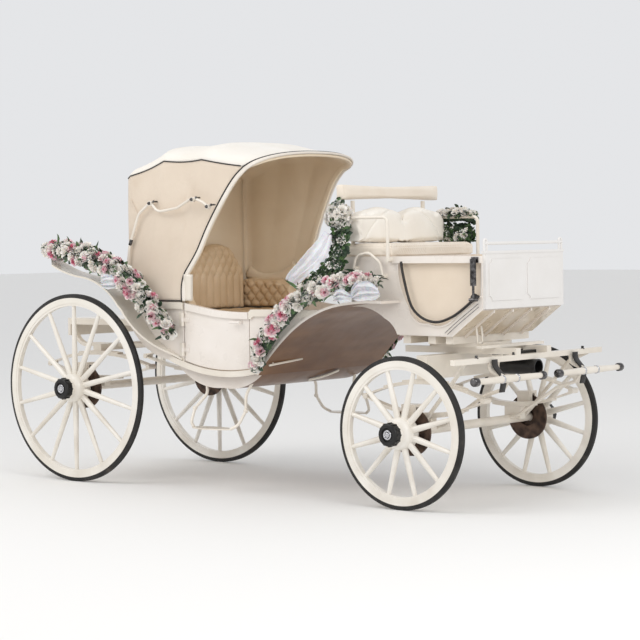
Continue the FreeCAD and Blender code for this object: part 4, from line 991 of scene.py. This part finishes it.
DRAPE = (
    [(1878, -500, 1512), (1800, -504, 1440), (1700, -508, 1350), (1622, -514, 1276), (1604, -520, 1240)],
    [(1926, -500, 1480), (1912, -506, 1400), (1880, -510, 1330), (1780, -520, 1262), (1664, -530, 1186)],
)
GATHERS = (
    # name, its two edges on the right side, depth of the folds, seed, what it rests on
    ("tulle_bow_",
     [(2146, -606, 1152), (2162, -626, 1196), (2206, -636, 1232), (2286, -628, 1230), (2326, -606, 1196)],
     [(2150, -600, 1136), (2196, -604, 1126), (2250, -600, 1126), (2296, -596, 1130), (2332, -592, 1150)],
     15, 9, "front_sheet"),
    ("tulle_knot_",
     [(2012, -600, 1146), (2040, -622, 1180), (2086, -624, 1186), (2146, -606, 1152)],
     [(2006, -590, 1126), (2044, -598, 1120), (2100, -598, 1122), (2148, -600, 1136)],
     12, 12, "front_sheet"),
    ("tulle_rear_bow_",
     [(318, -728, 1232), (352, -746, 1268), (392, -750, 1276), (436, -746, 1268), (468, -728, 1240)],
     [(322, -724, 1200), (356, -738, 1190), (398, -740, 1184), (440, -738, 1190), (470, -724, 1206)],
     14, 21, "rear_garlands"),
)

tulle_piece("tulle_drape_right", gathered(*DRAPE, 10, 5, (0.5, 0.5)))
for side_name, side in (("right", 1), ("left", -1)):
    for name, first, second, depth, seed, under in GATHERS:
        first, second = ([(x, y * side, z) for x, y, z in edge] for edge in (first, second))
        tulle_piece(name + side_name, gathered(first, second, depth, seed))

# ---- driver's seat

SWELL_FRAMES = 20


def apply_all(piece):
    """Puts the piece's modifiers into its mesh."""
    mesh = bpy.data.meshes.new_from_object(piece.evaluated_get(bpy.context.evaluated_depsgraph_get()))
    piece.modifiers.clear()
    old = piece.data
    piece.data = mesh
    bpy.data.meshes.remove(old)


def mesh_points(mesh, what="co"):
    """The places ("co") or directions ("normal") of a mesh's points, one in each row."""
    values = np.empty(len(mesh.vertices) * 3)
    mesh.vertices.foreach_get(what, values)
    return values.reshape(-1, 3)


def swollen(name, node, inset, voxel, pressure, cap, look):
    """A soft copy of a plain solid: remeshed, drawn in a little, blown up as cloth and smoothed."""
    piece = bpy.data.objects.new(name, NODES[node].data.copy())
    SCENE.collection.objects.link(piece)
    piece.data.materials.clear()
    piece.data.materials.append(look)
    modified(piece, "REMESH", mode="VOXEL", voxel_size=voxel, use_smooth_shade=True)
    apply_all(piece)
    before = mesh_points(piece.data) - mesh_points(piece.data, "normal") * inset
    piece.data.vertices.foreach_set("co", before.ravel())
    settings = piece.modifiers.new("swell", "CLOTH").settings
    settings.use_pressure = True
    settings.uniform_pressure_force = pressure
    settings.effector_weights.gravity = 0
    for frame_number in range(1, SWELL_FRAMES + 1):
        SCENE.frame_set(frame_number)
    apply_all(piece)
    SCENE.frame_set(1)
    moved = mesh_points(piece.data) - before
    far = np.linalg.norm(moved, axis=1)
    moved *= np.minimum(1, cap / np.maximum(far, 1e-9))[:, None]
    piece.data.vertices.foreach_set("co", (before + moved).ravel())
    modified(piece, "SUBSURF", levels=1, render_levels=1)
    apply_all(piece)
    piece.data.polygons.foreach_set("use_smooth", [True] * len(piece.data.polygons))
    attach(piece, "root")
    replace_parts(piece, node)
    return piece


def grooved(piece, depth_at):
    """Sinks each point along its normal by depth_at(places, normals), all in the drawings' millimetres."""
    places, normals = mesh_points(piece.data), mesh_points(piece.data, "normal")
    drawn = (places - np.array(at(0, 0, 0))) * 1000
    places -= normals * depth_at(drawn, normals)[:, None] / 1000
    piece.data.vertices.foreach_set("co", places.ravel())


def line_groove(away, width):
    """Depth of a seam, 1 on its line and fading out with the distance from it."""
    return np.exp(-(away / width) ** 2)


LOBE_SEAM = through([(24, 1636), (110, 1632), (215, 1590), (310, 1520), (372, 1440)], 60)
PLEAT, PLEAT_REACH, WELT_Z, BAR_SEAM_Y = 17, (60, 372), 1418, 436


def lobe_seams(places, normals):
    y, z = np.abs(places[:, 1]), places[:, 2]
    away = np.min(np.hypot(y[:, None] - LOBE_SEAM[:, 0], z[:, None] - LOBE_SEAM[:, 1]), axis=1)
    front = normals[:, 0] > 0.5
    below = z < np.interp(y, LOBE_SEAM[:, 0], LOBE_SEAM[:, 1])
    return front * (5.0 * line_groove(away, 4.5) - 7.0 * below * (1 - np.exp(-away / 16)))


def cushion_seams(places, normals):
    y, z = places[:, 1], places[:, 2]
    front = normals[:, 0] > 0.4
    pleated = (np.abs(y) < PLEAT_REACH[1]) * (np.abs(y) > PLEAT_REACH[0])
    pleat = pleated * line_groove((y - 0.6 * z) % PLEAT - PLEAT / 2, 3.0)
    welt = 3.5 * line_groove(z - WELT_Z, 3.5) * (np.abs(normals[:, 2]) < 0.8)
    return front * 2.8 * pleat + welt


def bar_seams(places, normals):
    return 3.5 * line_groove(np.abs(places[:, 1]) - BAR_SEAM_Y, 3.0)


cushion = swollen("driver_seat_cushion", "driver_cushion", 0.006, 0.006, 3.5, 0.014, cream_leather)
lobes = swollen("driver_seat_backs", "driver_backs", 0.006, 0.006, 3.5, 0.016, lobe_leather)
bar_pad = swollen("back_bar_pad", "back_bar", 0.005, 0.0055, 3.0, 0.010, cream_leather)
grooved(lobes, lobe_seams)
grooved(cushion, cushion_seams)
grooved(bar_pad, bar_seams)

# ---- trim


def turned(profile, centre, axis, sides=32):
    """A closed turned shape: (radius, along) points of a profile about an axis through the centre."""
    axis = unit(np.array(axis, float))
    first = unit(np.cross(axis, (0, 0, 1) if abs(axis[2]) < 0.9 else (1, 0, 0)))
    second = np.cross(axis, first)
    points = []
    for radius, along in profile:
        for k in range(sides):
            angle = TURN * k / sides
            spoke = first * cos(angle) + second * sin(angle)
            points.append(np.array(centre) + axis * along + spoke * max(radius, 0.01))
    return points, grid_faces(len(profile), sides, wrap=True) + end_caps(len(profile), sides)


def bolt(place, axis, radius=8.0, height=7.0):
    """A hexagon head on a washer, a little way into what it holds."""
    profile = [(radius * 1.5, -2), (radius * 1.5, 1.4), (radius * 1.3, 2.0), (radius, 2.0)]
    washer = turned(profile, place, axis, 20)
    head = turned([(radius, 1), (radius, height - 1.5), (radius * 0.85, height)], place, axis, 6)
    return joined([washer, head])


def trim(name, part, look, slot="black_metal", body="root", smooth=True):
    add_piece(name, *part, look, body=body, slot=slot, smooth=smooth)


HUBS = (("rear", 0, 575), ("front", 2510, 416))
HUB_FACE = 776


def hub_ring(end, side_name, sign, x, z):
    """The bright ring and boss on a hub's face, turning with the wheel."""
    centre, out = (x, sign * HUB_FACE, z), (0, sign, 0)
    face = turned([(27, -4), (27, 1.5), (25, 3.0), (20, 3.4), (18, 2.0), (17, -3)], centre, out)
    middle = turned([(14, -4), (14, 2.6), (11, 4.4), (5, 5.0), (1, 5.0)], centre, out)
    trim("hub_ring_" + end + "_" + side_name, joined([face, middle]), bright_metal, "bright_metal",
         end + "_" + side_name + "_wheel")


for end, x, z in HUBS:
    hub_ring(end, "right", -1, x, z)
    hub_ring(end, "left", 1, x, z)

BAR_X, BAR_TOP = 2912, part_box("splinter_bar")[1].z * 1000
TREE_X, TREE_Y, TREE_Z, TREE_HALF = 3042, 395, 712, 330


def tree_cap(sign, end):
    """The steel cap on one end of a swingletree."""
    tip = (TREE_X, sign * TREE_Y + end * (TREE_HALF - 34), TREE_Z)
    return turned([(22.4, 0), (23.6, 3), (23.6, 30), (21, 36), (15, 40), (1, 40.5)], tip, (0, end, 0))


def tree_collar(sign, end):
    """A bright collar beside the middle of a swingletree."""
    return turned([(20, 60), (23, 62), (23, 70), (20, 72)], (TREE_X, sign * TREE_Y, TREE_Z), (0, end, 0))


def tree_strap(y):
    """The leather strap from the bar down round the middle of a swingletree."""
    drop = through([(BAR_X + 34, y, BAR_TOP - 12), (BAR_X + 42, y, BAR_TOP - 52),
                    (TREE_X - 44, y, TREE_Z + 10), (TREE_X - 40, y, TREE_Z - 24),
                    (TREE_X - 50, y, TREE_Z - 74)], 30)
    return swept(drop, chamfered(24, 4, 2, 1), (1, 0, 0.5))


bolts = [bolt((BAR_X + 4, y, BAR_TOP - 1), (0, 0, 1), 8, 16) for y in (-520, -170, 170, 520)]
ENDS = [(sign, end) for sign in (-1, 1) for end in (-1, 1)]
trim("splinter_bolts", joined(bolts), dark_steel, body="forecarriage", smooth=False)
trim("swingletree_caps", joined([tree_cap(*end) for end in ENDS]), dark_steel, body="forecarriage")
trim("swingletree_collars", joined([tree_collar(*end) for end in ENDS]), bright_metal, "bright_metal",
     "forecarriage")
trim("swingletree_straps", joined([tree_strap(y) for y in (-TREE_Y, TREE_Y)]), piping, body="forecarriage")

BOX_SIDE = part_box("drivers_box")[1].y * 1000
SILL = [(2330, 1336), (2334, 1300), (2349, 1235), (2374, 1147), (2404, 1081), (2454, 1036), (2520, 1010),
        (2590, 1008), (2671, 1035), (2738, 1074), (2800, 1118), (2850, 1150)]
COACH_LINES = ([(2622, 946), (2697, 1004), (2791, 1070), (2846, 1108)],
               [(2640, 940), (2708, 992), (2800, 1057), (2850, 1092)])
IRON_Y, IRON_KNOBS, IRON_TOP = -580, ((585, 1692), (930, 1708), (1050, 1664)), (414, -568, 1461)


def on_box(points, count, section, proud):
    """A line along both sides of the driver's box, from (x, z) points."""
    return both(swept([(x, -BOX_SIDE - proud, z) for x, z in through(points, count)], section))


def iron_nuts():
    """The turned nuts on the knobs of the hood's folding irons."""
    out, nuts = (0, -1, 0), []
    large = [(10, -3), (10, 2), (8, 3), (8, 9), (6, 12), (1, 13)]
    small = [(5, -16), (5, 14), (7.5, 15), (7.5, 21), (4, 24), (1, 24.5)]
    for x, z in IRON_KNOBS:
        nuts.append(turned(large, (x, IRON_Y, z), out, 20))
        nuts.append(turned(small, (x + 28, IRON_Y + 26, z + 10), out, 16))
    nuts.append(turned([(9, -18), (10.5, -16), (10.5, 16), (9, 18)], IRON_TOP, (0.41, 0, 0.91), 20))
    return both(joined(nuts))


trim("box_sill_trim", on_box(SILL, 70, ring(7.5, 12), 1), piping)
trim("box_coach_lines", joined([on_box(line, 20, ring(1.8, 8), 0.4) for line in COACH_LINES]), dark_steel)
trim("brake_pedal_pad", turned([(2, -4), (17, -3), (22, 0), (22, 8), (17, 12), (2, 13)],
                               (2826, -BOX_SIDE - 4, 1140), (0.3, -1, 0.4), 24), piping)
trim("hood_iron_nuts", iron_nuts(), dark_steel)


def sheet_rod():
    """The slanting rod under the sheet, with its two lugs."""
    def height(y):
        return 746 + 0.079 * (y + 545)

    rod = swept([(1478, y, height(y)) for y in np.linspace(-538, -246, 14)], ring(6.5, 12))
    lugs = [turned([(5, -4), (5, 20), (9, 21), (9, 24)], (1479, y, height(y)), (-0.74, 0, 0.67), 16)
            for y in (-498, -290)]
    return joined([rod] + lugs)


def belly_iron():
    """The curved flat iron under the tub's belly."""
    line = through([(1296, 30, 622), (1330, 86, 634), (1366, 150, 654), (1388, 200, 672)], 24)
    return swept(line, [(a * 2.2, b * 0.8) for a, b in ring(7, 14)], (0.5, 0, -0.86))


def toe_loop():
    """The strap loop that hangs under the toe board."""
    line = through([(2742, -274, 982), (2749, -274, 930), (2750, -272, 894), (2750, -266, 889),
                    (2750, -234, 889), (2750, -228, 894), (2749, -226, 930), (2742, -226, 982)], 50)
    return swept(line, [(-7, -3), (7, -3), (7, 3), (-7, 3)], (1, 0, 0))


for name, part in (("sheet_rod", sheet_rod()), ("belly_iron", belly_iron()), ("toe_loop", toe_loop())):
    trim(name, part, ivory_paint, "ivory_paint")
